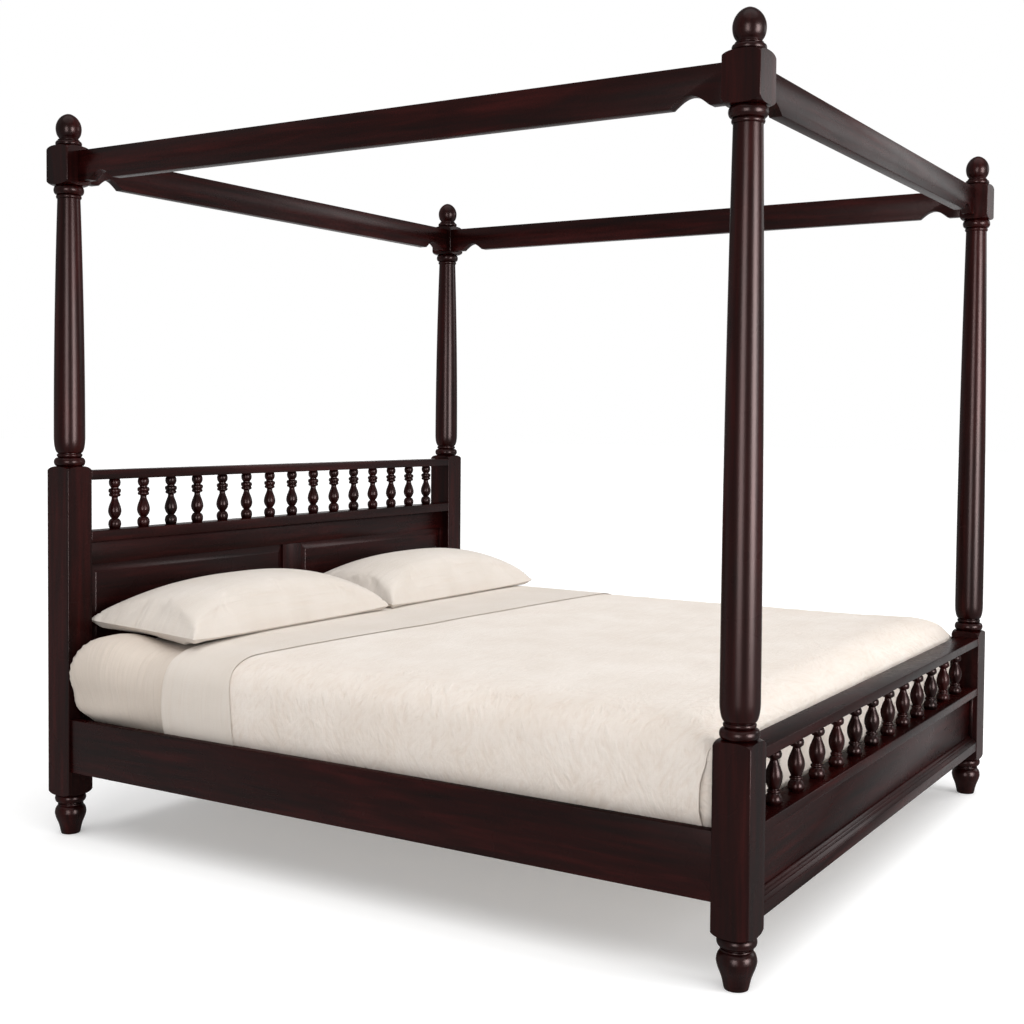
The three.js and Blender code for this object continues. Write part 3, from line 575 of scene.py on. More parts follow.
class Bench:
    """The modelling moves that the pieces of the bed share."""

    @staticmethod
    def clear() -> None:
        """Leave edit mode and select nothing."""
        if bpy.context.object is not None and bpy.context.object.mode != "OBJECT":
            bpy.ops.object.mode_set(mode="OBJECT")
        bpy.ops.object.select_all(action="DESELECT")

    @staticmethod
    def pick(*pieces: Mesh) -> None:
        """Select pieces alone, with the first as the active one.

        Args:
            pieces: the pieces.
        """
        Bench.clear()
        for piece in pieces:
            piece.select_set(True)
        bpy.context.view_layer.objects.active = pieces[0]

    @staticmethod
    def bring_in(name: str, data: bpy.types.ID) -> bpy.types.Object:
        """Put new data into the scene.

        Args:
            name: the object's name.
            data: its mesh, lamp or camera.

        Returns:
            The object.
        """
        thing = bpy.data.objects.new(name, data)
        bpy.context.scene.collection.objects.link(thing)
        return thing

    @staticmethod
    def settle(piece: Mesh) -> Mesh:
        """Put a piece's place, turn and scale into its mesh.

        Args:
            piece: the piece.

        Returns:
            The same piece.
        """
        Bench.pick(piece)
        bpy.ops.object.transform_apply(location=True, rotation=True, scale=True)
        return piece

    @staticmethod
    def corners(piece: Mesh) -> np.ndarray:
        """Read the places of a piece's corners.

        Args:
            piece: the piece.

        Returns:
            The places, one row for each corner.
        """
        places = np.zeros(len(piece.data.vertices) * 3)
        piece.data.vertices.foreach_get("co", places)
        return places.reshape(-1, 3)

    @staticmethod
    def move_corners(piece: Mesh, places: np.ndarray) -> None:
        """Move a piece's corners to new places."""
        piece.data.vertices.foreach_set("co", places.ravel())
        piece.data.update()

    @staticmethod
    @contextmanager
    def editing(piece: Mesh) -> Iterator[None]:
        """Work on a piece in edit mode with all of it selected.

        Args:
            piece: the piece.

        Yields:
            Nothing.
        """
        Bench.pick(piece)
        bpy.ops.object.mode_set(mode="EDIT")
        bpy.ops.mesh.select_mode(type="VERT")
        bpy.ops.mesh.select_all(action="SELECT")
        yield
        bpy.ops.object.mode_set(mode="OBJECT")

    @staticmethod
    def choose(piece: Mesh, kind: str, test: Callable[[Vector], bool]) -> None:
        """Select the faces or the edges that pass a test.

        Args:
            piece: the piece, in edit mode.
            kind: FACE or EDGE.
            test: takes a face's normal or an edge's direction.
        """
        bpy.ops.mesh.select_all(action="DESELECT")
        bpy.ops.mesh.select_mode(type=kind)
        shape = bmesh.from_edit_mesh(piece.data)
        if kind == "FACE":
            for face in shape.faces:
                face.select_set(test(face.normal))
        else:
            for edge in shape.edges:
                start, stop = (corner.co for corner in edge.verts)
                edge.select_set(test((stop - start).normalized()))
        bmesh.update_edit_mesh(piece.data)

    @staticmethod
    def round_off(piece: Mesh, test: Callable[[Vector], bool], radius: float, steps: int) -> None:
        """Round the edges whose direction passes a test, in edit mode."""
        Bench.choose(piece, "EDGE", test)
        bpy.ops.mesh.bevel(offset=radius, segments=steps, affect="EDGES")

    @staticmethod
    def modify(piece: Mesh, kind: str, **settings: object) -> None:
        """Add a modifier, set it and apply it.

        Args:
            piece: the piece.
            kind: the modifier's type.
            settings: the modifier's properties.
        """
        Bench.pick(piece)
        modifier = piece.modifiers.new(kind.lower(), kind)
        for key, value in settings.items():
            setattr(modifier, key, value)
        bpy.ops.object.modifier_apply(modifier=modifier.name)

    @staticmethod
    def smooth(piece: Mesh, angle: float = 34.0) -> Mesh:
        """Shade a piece smooth but for its edges sharper than an angle.

        Args:
            piece: the piece.
            angle: the angle in degrees.

        Returns:
            The same piece.
        """
        Bench.pick(piece)
        bpy.ops.object.shade_smooth_by_angle(angle=math.radians(angle))
        return piece

    @staticmethod
    def block(name: str, start: Sequence[float], stop: Sequence[float]) -> Mesh:
        """Make a square block between two opposite corners.

        Args:
            name: the piece's name.
            start: one corner.
            stop: the opposite corner.

        Returns:
            The block.
        """
        Bench.clear()
        low, high = (Vector([pick(pair) for pair in zip(start, stop)]) for pick in (min, max))
        bpy.ops.mesh.primitive_cube_add(size=1, location=(low + high) / 2, scale=high - low)
        bpy.context.object.name = name
        return Bench.settle(bpy.context.object)

    @staticmethod
    def eased(piece: Mesh, radius: float = 1.2 * MM, steps: int = 2) -> Mesh:
        """Round a piece's sharp edges a little."""
        Bench.modify(piece, "BEVEL", width=radius, segments=steps, limit_method="ANGLE", harden_normals=False)
        return Bench.smooth(piece, 40.0)

    @staticmethod
    def board(name: str, start: Sequence[float], stop: Sequence[float], radius: float = 1 * MM) -> Mesh:
        """Plane a board between two opposite corners, with its edges rounded to a radius."""
        return Bench.eased(Bench.block(name, start, stop), radius)

    @staticmethod
    def rail(name: str, node: str, inner: float, bottom: float | None = None) -> Mesh:
        """Plane a rail of full section from post to post.

        Args:
            name: the piece's name.
            node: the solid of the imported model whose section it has.
            inner: half the room between the posts.
            bottom: its underside, where it isn't the solid's.

        Returns:
            The rail.
        """
        low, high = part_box(node)
        start = (-inner, low.y, low.z if bottom is None else bottom)
        return Bench.eased(Bench.block(name, start, (inner, high.y, high.z)), 2 * MM, 3)

    @staticmethod
    @contextmanager
    def tracing(name: str, points: Sequence[Point]) -> Iterator[Mesh]:
        """Draw a line from point to point, to be spun or drawn out, and weld what is made of it.

        Args:
            name: the piece's name.
            points: the line's points, in order.

        Yields:
            The piece, in edit mode with the line selected.
        """
        Bench.clear()
        bpy.ops.mesh.primitive_circle_add(vertices=3, radius=MM, fill_type="NOTHING", location=(0, 0, 0))
        piece = bpy.context.object
        piece.name = name
        with Bench.editing(piece):
            bpy.ops.mesh.merge(type="CENTER")
            bpy.ops.transform.translate(value=points[0])
            for start, stop in pairwise(points):
                step = [after - before for before, after in zip(start, stop)]
                bpy.ops.mesh.extrude_region_move(TRANSFORM_OT_translate={"value": step})
            bpy.ops.mesh.select_all(action="SELECT")
            yield piece
            bpy.ops.mesh.select_all(action="SELECT")
            bpy.ops.mesh.remove_doubles(threshold=WELD)
            bpy.ops.mesh.normals_make_consistent(inside=False)

    @staticmethod
    def turned(name: str, outline: Line, steps: int) -> Mesh:
        """Turn an outline round the Z axis, as on a lathe.

        Args:
            name: the piece's name.
            outline: (radius, height) points that start and end on the axis.
            steps: the facets round the piece.

        Returns:
            The turned piece.
        """
        with Bench.tracing(name, [(radius, 0, height) for radius, height in outline]) as piece:
            bpy.ops.mesh.spin(steps=steps, angle=math.tau, center=(0, 0, 0), axis=(0, 0, 1))
        return Bench.smooth(piece)

    @staticmethod
    def drawn(name: str, outline: Sequence[Point], run: Point) -> Mesh:
        """Make a solid by drawing a flat outline along a straight run.

        Args:
            name: the piece's name.
            outline: the outline's corners, in order.
            run: how far and which way it is drawn.

        Returns:
            The solid.
        """
        with Bench.tracing(name, outline) as piece:
            bpy.ops.mesh.edge_face_add()
            bpy.ops.mesh.extrude_region_move(TRANSFORM_OT_translate={"value": run})
        return piece

    @staticmethod
    def copy(piece: Mesh, name: str, shift: Point = (0.0, 0.0, 0.0), mirror: bool = False) -> Mesh:
        """Copy a piece with its own mesh.

        Args:
            piece: the piece to copy.
            name: the copy's name.
            shift: how far the copy is moved.
            mirror: turn the copy over from left to right.

        Returns:
            The copy.
        """
        twin = piece.copy()
        twin.data = piece.data.copy()
        twin.name = name
        bpy.context.scene.collection.objects.link(twin)
        if mirror:
            twin.data.transform(Matrix.Diagonal((-1, 1, 1, 1)))
            twin.data.flip_normals()
        twin.location = shift
        return Bench.settle(twin)

    @staticmethod
    def join(pieces: Sequence[Mesh], name: str) -> Mesh:
        """Join pieces into the first of them.

        Args:
            pieces: the pieces.
            name: the joined piece's name.

        Returns:
            The joined piece.
        """
        Bench.pick(*pieces)
        bpy.ops.object.join()
        pieces[0].name = name
        return pieces[0]

    @staticmethod
    def hand_over(piece: Mesh, finish: Finish, *nodes: str) -> None:
        """Finish a piece: dress it, let it ride on the frame, and let it stand for its solids.

        Args:
            piece: the piece.
            finish: its finish.
            nodes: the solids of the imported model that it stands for.
        """
        finish.dress(piece)
        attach(piece, BODY)
        if nodes:
            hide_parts(*nodes)
        log.info("%s: %d faces", piece.name, len(piece.data.polygons))

    @staticmethod
    def set_copies(first: Mesh, places: dict[str, Point]) -> None:
        """Set a copy of a turned piece for each solid that it stands for, and discard the first.

        Args:
            first: the turned piece, on the middle axis.
            places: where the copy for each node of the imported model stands.
        """
        for node, place in places.items():
            Bench.hand_over(Bench.copy(first, f"{node}_turned", place), WOOD[Grain.Z], node)
        bpy.data.objects.remove(first)


def named(kind: str, *choices: Enum) -> str:
    """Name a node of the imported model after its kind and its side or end."""
    return "_".join([kind, *(choice.name.lower() for choice in choices)])


def in_mm(*points: tuple[float, float]) -> list[tuple[float, float]]:
    """Turn points in millimetres into metres."""
    return [(first * MM, second * MM) for first, second in points]


def smooth_step(value: Number, low: float, high: float) -> Number:
    """Rise smoothly from 0 to 1.

    Args:
        value: a number or an array.
        low: where the rise starts.
        high: where the rise ends.

    Returns:
        The share of the rise, as a number or an array.
    """
    share = np.clip((np.asarray(value, float) - low) / (high - low), 0, 1)
    result = share * share * (3 - 2 * share)
    return result if np.ndim(value) else float(result)


def smooth_through(points: Line, steps: int) -> list[tuple[float, float]]:
    """Lay a smooth curve through points.

    Args:
        points: the points, in order.
        steps: the steps from each point to the next.

    Returns:
        The curve's points.
    """
    ends = [points[0], *points, points[-1]]
    curve = []
    for (a, b, c, d) in zip(ends, ends[1:], ends[2:], ends[3:]):
        for i in range(steps):
            t = i / steps
            curve.append(tuple(
                q + ((r - p) * t + (2 * p - 5 * q + 4 * r - s) * t * t + (3 * q - p - 3 * r + s) * t ** 3) / 2
                for p, q, r, s in zip(a, b, c, d)
            ))
    curve.append(tuple(points[-1]))
    return curve


class Outline:
    """A line of (radius, height) points for turned work, drawn from the bottom up."""

    def __init__(self, *points: tuple[float, float]) -> None:
        """Start the outline with its first points."""
        self.points: list[tuple[float, float]] = list(points)

    def to(self, *points: tuple[float, float]) -> Outline:
        """Go straight on through points."""
        self.points.extend(points)
        return self

    def bead(self, z0: float, z1: float, root: float, crest: float, steps: int = 12) -> Outline:
        """Add a half round between two heights.

        Args:
            z0: its lower height.
            z1: its upper height.
            root: the radius at both heights.
            crest: the radius at its middle.
            steps: the steps from height to height.

        Returns:
            The outline.
        """
        for i in range(steps + 1):
            turn = math.pi * i / steps
            rise = (1 - math.cos(turn)) / 2
            self.points.append((root + (crest - root) * math.sin(turn), z0 + (z1 - z0) * rise))
        return self

    def curve(self, *points: tuple[float, float], steps: int = 4) -> Outline:
        """Add a smooth curve through points."""
        self.points.extend(smooth_through(points, steps))
        return self


# Wooden pieces


@dataclass
class Post:
    """A turned post: vase foot, square block, swelling column, and the square block at the tester."""

    end: End
    height: float = 2040 * MM
    square: float = 90 * MM
    block_bottom: float = 119 * MM
    block_top: float = 552 * MM
    top_block: float = 115 * MM
    shoulder: float = 39 * MM
    drop: float = 13 * MM
    neck: float = 33 * MM
    swell: float = 12 * MM
    swell_rise: float = 44 * MM
    rings_rise: float = 39 * MM
    edge: float = 1.6 * MM
    facets: int = 72

    def shoulder_rise(self, z: float, upward: int) -> list[tuple[float, float]]:
        """Give the rounded shoulder of a block, from the turning out to its corners.

        Args:
            z: the height of the block's end face.
            upward: 1 where the block lies above its end face, or -1.

        Returns:
            (radius, height) points from the inside out.
        """
        reach = self.square * math.sqrt(0.5) - self.shoulder
        turns = [math.pi / 2 * 0.86 * i / 9 for i in range(10)]
        scale = math.sin(turns[-1])
        fall = 1 - math.cos(turns[-1])
        points = [
            (self.shoulder + reach * math.sin(t) / scale, z + upward * self.drop * (1 - math.cos(t)) / fall)
            for t in turns
        ]
        out = self.square * 0.8
        return [*points, (out, points[-1][1] + upward * (out - points[-1][0]) * 2)]

    def foot(self, line: Outline) -> None:
        """Draw the vase-shaped foot with its collar, up to the block.

        Args:
            line: the outline to go on with.
        """
        line.to(*in_mm((0, 0), (24.6, 0))).curve(*in_mm(
            (27, 0.9), (28.4, 5), (31, 17), (33.6, 27), (37.8, 38.5), (42.1, 49), (45, 60), (45.3, 66),
            (43.6, 75), (40.6, 81), (36.6, 85),
        ))
        line.to(*in_mm((35.8, 85.6))).bead(86 * MM, 91 * MM, 35.4 * MM, 37 * MM, 6)
        line.to(*in_mm((34, 92.2), (33.8, 94))).bead(94.4 * MM, 120 * MM, 35 * MM, self.square / 2, 14)

    def column(self, line: Outline, start: float, stop: float) -> None:
        """Draw the column from block to block: torus, bead, swelling shaft, bead and torus.

        Args:
            line: the outline to go on with.
            start: the lower block's top.
            stop: the upper block's underside.
        """
        half = self.square / 2
        line.to((36 * MM, start)).bead(start + 0.4 * MM, start + 26 * MM, 35.6 * MM, half, 14)
        line.to((33.4 * MM, start + 26.8 * MM)).bead(start + 27.4 * MM, start + 38 * MM, self.neck, 37 * MM, 8)
        foot = start + self.rings_rise
        line.to((self.neck, foot))
        for i in range(1, 11):
            turn = math.pi / 2 * i / 10
            line.to((self.neck + self.swell * math.sin(turn), foot + self.swell_rise * (1 - math.cos(turn))))
        foot += self.swell_rise
        top = stop - self.rings_rise
        for i in range(1, 25):
            share = i / 24
            line.to((half - self.swell * share ** 1.9, foot + (top - foot) * share))
        line.to((32.6 * MM, top + 0.4 * MM)).bead(top + 0.6 * MM, top + 11.6 * MM, self.neck, 36.6 * MM, 8)
        line.to((33.2 * MM, top + 12 * MM)).bead(top + 12.4 * MM, stop, 34.6 * MM, 43.6 * MM, 14)
        line.to((36 * MM, stop))

    def outline(self) -> Line:
        """Draw the post's outline, with the blocks left wider than the billet.

        Returns:
            (radius, height) points from the floor up.
        """
        line = Outline()
        self.foot(line)
        line.to(*self.shoulder_rise(self.block_bottom, 1), *reversed(self.shoulder_rise(self.block_top, -1)))
        capital = self.height - self.top_block
        self.column(line, self.block_top, capital)
        line.to(*self.shoulder_rise(capital, 1), *reversed(self.shoulder_rise(self.height, -1)))
        return line.to((0, self.height)).points

    def make(self, x: float, y: float) -> None:
        """Turn the post from its billet, and set a copy at both sides of its end.

        Args:
            x: how far from the middle it stands across the bed.
            y: how far from the middle it stands along the bed.
        """
        half, spare = self.square / 2, 10 * MM
        post = Bench.turned("turning", self.outline(), self.facets)
        post.data.transform(Matrix.Rotation(math.pi / self.facets, 4, "Z"))
        billet = Bench.block("billet", (-half, -half, -spare), (half, half, self.height + spare))
        with Bench.editing(billet):
            Bench.round_off(billet, lambda way: abs(way.z) > 0.9, self.edge, 3)
        Bench.modify(post, "BOOLEAN", object=billet, operation="INTERSECT", solver="EXACT")
        bpy.data.objects.remove(billet)
        Bench.smooth(post)
        Bench.set_copies(post, {
            named("post", self.end, side): (side.value * x, self.end.value * y, 0) for side in Side
        })


@dataclass
class Finial:
    """A turned finial: a ring, a fillet and neck, and an egg drawn in shares of its height and radius."""

    seat: float = 2040.3 * MM
    egg_base: float = 22.5 * MM
    egg_height: float = 73.5 * MM
    egg_radius: float = 37 * MM
    facets: int = 56
    egg: Line = (
        (0.06, 0.8), (0.1, 0.86), (0.17, 0.925), (0.25, 0.97), (0.33, 0.993), (0.42, 1), (0.52, 0.978),
        (0.6, 0.935), (0.68, 0.87), (0.76, 0.775), (0.84, 0.645), (0.9, 0.505), (0.95, 0.345), (0.985, 0.175),
    )

    def outline(self) -> Line:
        """Draw the finial's outline.

        Returns:
            (radius, height) points from its seat up.
        """
        line = Outline(*in_mm((0, 0), (33, 0))).bead(0.2 * MM, 15.4 * MM, 32.6 * MM, 38 * MM, 12)
        line.to(*in_mm((30.6, 15.8))).bead(16.2 * MM, 20 * MM, 30 * MM, 31.4 * MM, 6)
        line.to(*in_mm((27.8, 20.4), (27, 22), (28, 24.4)))
        egg = [(self.egg_radius * r, self.egg_base + self.egg_height * z) for z, r in self.egg]
        line.curve(*egg, steps=2).to((0, self.egg_base + self.egg_height))
        return [(r, self.seat + z) for r, z in line.points]

    def make(self, x: float, y: float) -> None:
        """Turn one finial and set a copy on each post.

        Args:
            x: how far the posts' centres are from the middle across the bed.
            y: how far they are from it along the bed.
        """
        finial = Bench.turned("finial", self.outline(), self.facets)
        Bench.set_copies(finial, {
            named("finial", end, side): (side.value * x, end.value * y, 0) for end in End for side in Side
        })


@dataclass
class Spindle:
    """A turned spindle between two rails, drawn in shares of its radius and length."""

    bottom: float
    top: float
    radius: float
    facets: int = 28

    def head_outline(self) -> Outline:
        """Draw the headboard's spindle: ball, slender vase, two rings and a drum.

        Returns:
            The outline in shares of its radius and length.
        """
        line = Outline((0, 0), (0.78, 0))
        line.curve((0.8, 0.01), (0.92, 0.05), (0.97, 0.1), (0.88, 0.155), (0.66, 0.192), (0.52, 0.2))
        line.curve(
            (0.5, 0.206), (0.66, 0.232), (0.86, 0.275), (0.98, 0.325), (1, 0.36), (0.94, 0.415), (0.82, 0.47),
            (0.66, 0.525), (0.52, 0.575), (0.475, 0.61), (0.5, 0.63),
        )
        line.to((0.62, 0.64)).bead(0.645, 0.705, 0.74, 0.88, 8)
        line.to((0.77, 0.71)).bead(0.715, 0.8, 0.77, 0.95, 8).to((0.6, 0.806), (0.585, 0.825))
        return line.curve((0.62, 0.832), (0.8, 0.865), (0.885, 0.91), (0.86, 0.955), (0.72, 1)).to((0, 1))

    def foot_outline(self) -> Outline:
        """Draw the footboard's spindle: ball, ring, full vase, bead and collar.

        Returns:
            The outline in shares of its radius and length.
        """
        line = Outline((0, 0), (0.82, 0))
        line.curve((0.84, 0.01), (0.97, 0.05), (1, 0.09), (0.93, 0.135), (0.76, 0.175), (0.68, 0.19))
        line.to((0.66, 0.196)).bead(0.2, 0.25, 0.66, 0.78, 6).to((0.6, 0.256))
        line.curve(
            (0.59, 0.265), (0.72, 0.3), (0.86, 0.35), (0.97, 0.415), (1, 0.47), (0.95, 0.53), (0.82, 0.59),
            (0.66, 0.65), (0.52, 0.7), (0.46, 0.735), (0.47, 0.752),
        )
        line.to((0.5, 0.758)).bead(0.76, 0.905, 0.52, 0.88, 12)
        line.to((0.6, 0.91)).bead(0.912, 0.945, 0.62, 0.74, 6)
        return line.curve((0.62, 0.95), (0.7, 0.97), (0.8, 1)).to((0, 1))

    def row(self, kind: End, count: int) -> None:
        """Turn one spindle and stand a copy at the place of each of its row.

        Args:
            kind: whose spindles these are.
            count: how many stand in the row.
        """
        shares = self.head_outline() if kind is End.HEAD else self.foot_outline()
        long = self.top - self.bottom
        outline = [(self.radius * r, self.bottom + long * z) for r, z in shares.points]
        places = {}
        for number in range(1, count + 1):
            node = f"{kind.name.lower()}board_spindle_{number}"
            low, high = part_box(node)
            places[node] = ((low.x + high.x) / 2, (low.y + high.y) / 2, 0)
        Bench.set_copies(Bench.turned("spindle", outline, self.facets), places)


@dataclass
class TesterRails:
    """The four rails that join the post tops, scalloped beside the posts."""

    bottom: float = 1937 * MM
    top: float = 2025 * MM
    tab: float = 45 * MM
    span: float = 96 * MM
    depth: float = 25 * MM
    steps: int = 22

    def edge(self, half: float) -> Line:
        """Draw one rail's face, from its lower left corner round.

        Args:
            half: half the rail's length.

        Returns:
            (distance along, height) points.
        """
        lower = [(-half, self.bottom)]
        for i in range(self.steps + 1):
            share = i / self.steps
            height = self.bottom + self.depth * math.sin(math.pi * share)
            lower.append((-half + self.tab + self.span * share, height))
        mirrored = [(-along, height) for along, height in reversed(lower)]
        return [*lower, *mirrored, (half, self.top), (-half, self.top)]

    def make(self, inner_x: float, inner_y: float) -> None:
        """Cut the four rails to the room between their posts.

        Args:
            inner_x: half the room across the bed.
            inner_y: half the room along the bed.
        """
        for place in (*Side, *End):
            node = named("tester_rail", place)
            low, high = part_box(node)
            if isinstance(place, Side):
                outline, grain = [(low.x, along, z) for along, z in self.edge(inner_y)], Grain.Y
                run = (high.x - low.x, 0, 0)
            else:
                outline, grain = [(along, low.y, z) for along, z in self.edge(inner_x)], Grain.X
                run = (0, high.y - low.y, 0)
            Bench.hand_over(Bench.eased(Bench.drawn(f"{node}_scalloped", outline, run)), WOOD[grain], node)


@dataclass
class Headboard:
    """Cap rail, gallery of spindles, frame with two raised and fielded panels, and bottom rail."""

    frame_face: float = 1055 * MM
    frame_back: float = 1083 * MM
    gallery_bottom: float = 870 * MM
    frame_bottom: float = 800 * MM
    panel_bottom: float = 351 * MM
    bevel: float = 22 * MM
    setback: float = 8 * MM
    proud: float = 1 * MM
    spindle_radius: float = 20 * MM
    spindles: int = 15

    def framed(self, name: str, x: Sequence[float], z: Sequence[float]) -> Mesh:
        """Plane a board of the frame between two places across the bed and two heights."""
        return Bench.board(name, (x[0], self.frame_face, z[0]), (x[1], self.frame_back, z[1]))

    def rails(self, inner: float) -> None:
        """Make the cap rail, the gallery rail with the frame rail, the bottom rail with its stiles, the muntin.

        Args:
            inner: half the room between the posts.
        """
        cap = Bench.rail("headboard_cap", "headboard_cap_rail", inner)
        Bench.hand_over(cap, WOOD[Grain.X], "headboard_cap_rail")
        gallery = Bench.rail("headboard_gallery", "headboard_gallery_rail", inner, self.gallery_bottom)
        rail = self.framed("frame_rail", (-inner, inner), (self.frame_bottom, self.gallery_bottom + MM))
        Bench.hand_over(Bench.join([gallery, rail], gallery.name), WOOD[Grain.X], "headboard_gallery_rail")
        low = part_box("headboard_bottom_rail")[0].z
        parts = [self.framed("headboard_base", (-inner, inner), (low, self.panel_bottom))]
        stile = -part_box("headboard_panel_left")[0].x
        for side in Side:
            across = (side.value * inner, side.value * stile)
            parts.append(self.framed("stile", across, (self.panel_bottom - MM, self.frame_bottom)))
        Bench.hand_over(Bench.join(parts, parts[0].name), WOOD[Grain.X], "headboard_bottom_rail")
        muntin = Bench.board("headboard_centre_stile", *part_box("headboard_muntin"))
        Bench.hand_over(muntin, WOOD[Grain.Z], "headboard_muntin")

    def panel(self, side: Side) -> None:
        """Raise and field one panel: a plate with a bevelled border round a proud field.

        Args:
            side: the panel's side of the bed.
        """
        node = named("headboard_panel", side)
        low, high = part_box(node)
        start = (low.x, self.frame_face + self.setback, self.panel_bottom)
        panel = Bench.block(f"{node}_fielded", start, (high.x, high.y, self.frame_bottom))
        with Bench.editing(panel):
            Bench.choose(panel, "FACE", lambda normal: normal.y < -0.9)
            bpy.ops.mesh.inset(thickness=1.5 * MM, depth=0)
            for width, out in ((self.bevel, self.setback - self.proud), (1.2 * MM, self.proud)):
                bpy.ops.mesh.inset(thickness=width, depth=0)
                bpy.ops.transform.translate(value=(0, -out, 0))
        Bench.hand_over(Bench.eased(panel, 0.6 * MM), WOOD[Grain.X], node)

    def make(self, inner: float) -> None:
        """Make every piece of the headboard.

        Args:
            inner: half the room between the posts.
        """
        self.rails(inner)
        for side in Side:
            self.panel(side)
        bottom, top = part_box("headboard_gallery_rail")[1].z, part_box("headboard_cap_rail")[0].z
        Spindle(bottom, top, self.spindle_radius).row(End.HEAD, self.spindles)


@dataclass
class Footboard:
    """Cap rail, low gallery of spindles, middle rail, flat panel, and moulded bottom rail."""

    outer: float = 1114 * MM
    panel_face: float = 1091 * MM
    panel_back: float = 1077 * MM
    bottom_z: float = 156 * MM
    rail_top: float = 184 * MM
    mould_top: float = 206 * MM
    lip_back: float = 1103 * MM
    lip_width: float = 12 * MM
    spindle_radius: float = 20.5 * MM
    spindles: int = 12
    slope: Line = (
        (0.1, 0.04), (0.16, 0.16), (0.26, 0.25), (0.36, 0.4), (0.44, 0.42), (0.5, 0.55), (0.6, 0.66),
        (0.72, 0.72), (0.8, 0.86), (0.9, 0.96), (1.0, 1.0),
    )

    def moulding(self) -> Line:
        """Draw the bottom rail's end: a square rail with a sloping, reeded moulding on its outer edge.

        Returns:
            (y, z) points, from the inner bottom corner round.
        """
        outer, inner, back = -self.outer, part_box("footboard_bottom_rail")[1].y, -self.panel_back
        run, rise = self.outer - self.panel_face, self.mould_top - self.rail_top
        slope = [(outer + run * along, self.rail_top + rise * up) for along, up in self.slope]
        start = [(inner, self.bottom_z), (outer, self.bottom_z), (outer, self.rail_top)]
        return [*start, *slope, (back, self.mould_top), (back, self.rail_top), (inner, self.rail_top)]

    def make(self, inner: float) -> None:
        """Make every piece of the footboard.

        Args:
            inner: half the room between the posts.
        """
        names = {"footboard_cap_rail": "footboard_cap", "footboard_mid_rail": "footboard_middle_rail"}
        for node, name in names.items():
            Bench.hand_over(Bench.rail(name, node, inner), WOOD[Grain.X], node)
        top, spindle_bottom = (corner.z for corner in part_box("footboard_mid_rail"))
        low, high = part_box("footboard_panel")
        start, stop = (-inner, low.y, self.mould_top), (inner, high.y, top)
        panel = Bench.board("footboard_flat_panel", start, stop, 0.8 * MM)
        Bench.hand_over(panel, WOOD[Grain.X], "footboard_panel")
        outline = [(-inner, y, z) for y, z in self.moulding()]
        parts = [Bench.eased(Bench.drawn("footboard_base", outline, (2 * inner, 0, 0)), 0.7 * MM)]
        for side in Side:
            start = (side.value * inner, -self.lip_back, self.rail_top)
            stop = (side.value * (inner - self.lip_width), -self.panel_face + MM, top)
            parts.append(Bench.board("lip", start, stop))
        Bench.hand_over(Bench.join(parts, parts[0].name), WOOD[Grain.X], "footboard_bottom_rail")
        spindle_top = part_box("footboard_cap_rail")[0].z
        Spindle(spindle_bottom, spindle_top, self.spindle_radius, 32).row(End.FOOT, self.spindles)


@dataclass
class SideRail:
    """A long rail with the ledger that carries the slats glued to its inside."""

    side: Side
    thickness: float = 28 * MM
    ledger_bottom: float = 253.7 * MM
    ledger_top: float = 293.7 * MM
    ledger_short: float = 40 * MM

    def make(self, inner: float) -> None:
        """Make the rail between the posts and its ledger.

        Args:
            inner: half the room between the posts.
        """
        node, way = named("side_rail", self.side), self.side.value
        low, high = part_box(node)
        ledger, outer = sorted((abs(low.x), abs(high.x)))
        start, stop = (way * outer, -inner, low.z), (way * (outer - self.thickness), inner, high.z)
        rail = Bench.eased(Bench.block(f"{node}_board", start, stop), 2 * MM, 3)
        end = inner - self.ledger_short
        start = (way * (outer - self.thickness + MM), -end, self.ledger_bottom)
        strip = Bench.board("ledger", start, (way * ledger, end, self.ledger_top))
        Bench.hand_over(Bench.join([rail, strip], rail.name), WOOD[Grain.Y], node)


@dataclass
class Underframe:
    """What carries the mattress out of sight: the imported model's own solids, dressed."""

    def make(self, nodes: dict[str, Mesh]) -> None:
        """Dress the slats, the beam, its leg and glide, and the ledger at the foot.

        Args:
            nodes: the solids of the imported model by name.
        """
        SLAT_WOOD.dress(nodes["slat_roll"])
        BEAM_WOOD.dress(nodes["centre_beam"])
        CROSS_WOOD.dress(nodes["foot_ledger"])
        LEG_WOOD.dress(nodes["centre_leg"])
        STEEL.dress(nodes["levelling_glide"])


# Bedding


class Contour:
    """A smooth line from the flat top of the bedding over its edge, read by the cloth along it."""

    def __init__(self, points: Line, steps: int = 14) -> None:
        """Measure the line.

        Args:
            points: (distance out, height) points from the flat top down to the hem.
            steps: the steps from each point to the next.
        """
        dense = np.array(smooth_through(points, steps))
        self.out, self.height = dense.T
        self.length = np.concatenate([[0], np.cumsum(np.hypot(*np.diff(dense, axis=0).T))])
        self.total = float(self.length[-1])

    def at(self, length: np.ndarray) -> tuple[np.ndarray, np.ndarray]:
        """Read the distance out and the height at lengths of cloth."""
        return np.interp(length, self.length, self.out), np.interp(length, self.length, self.height)


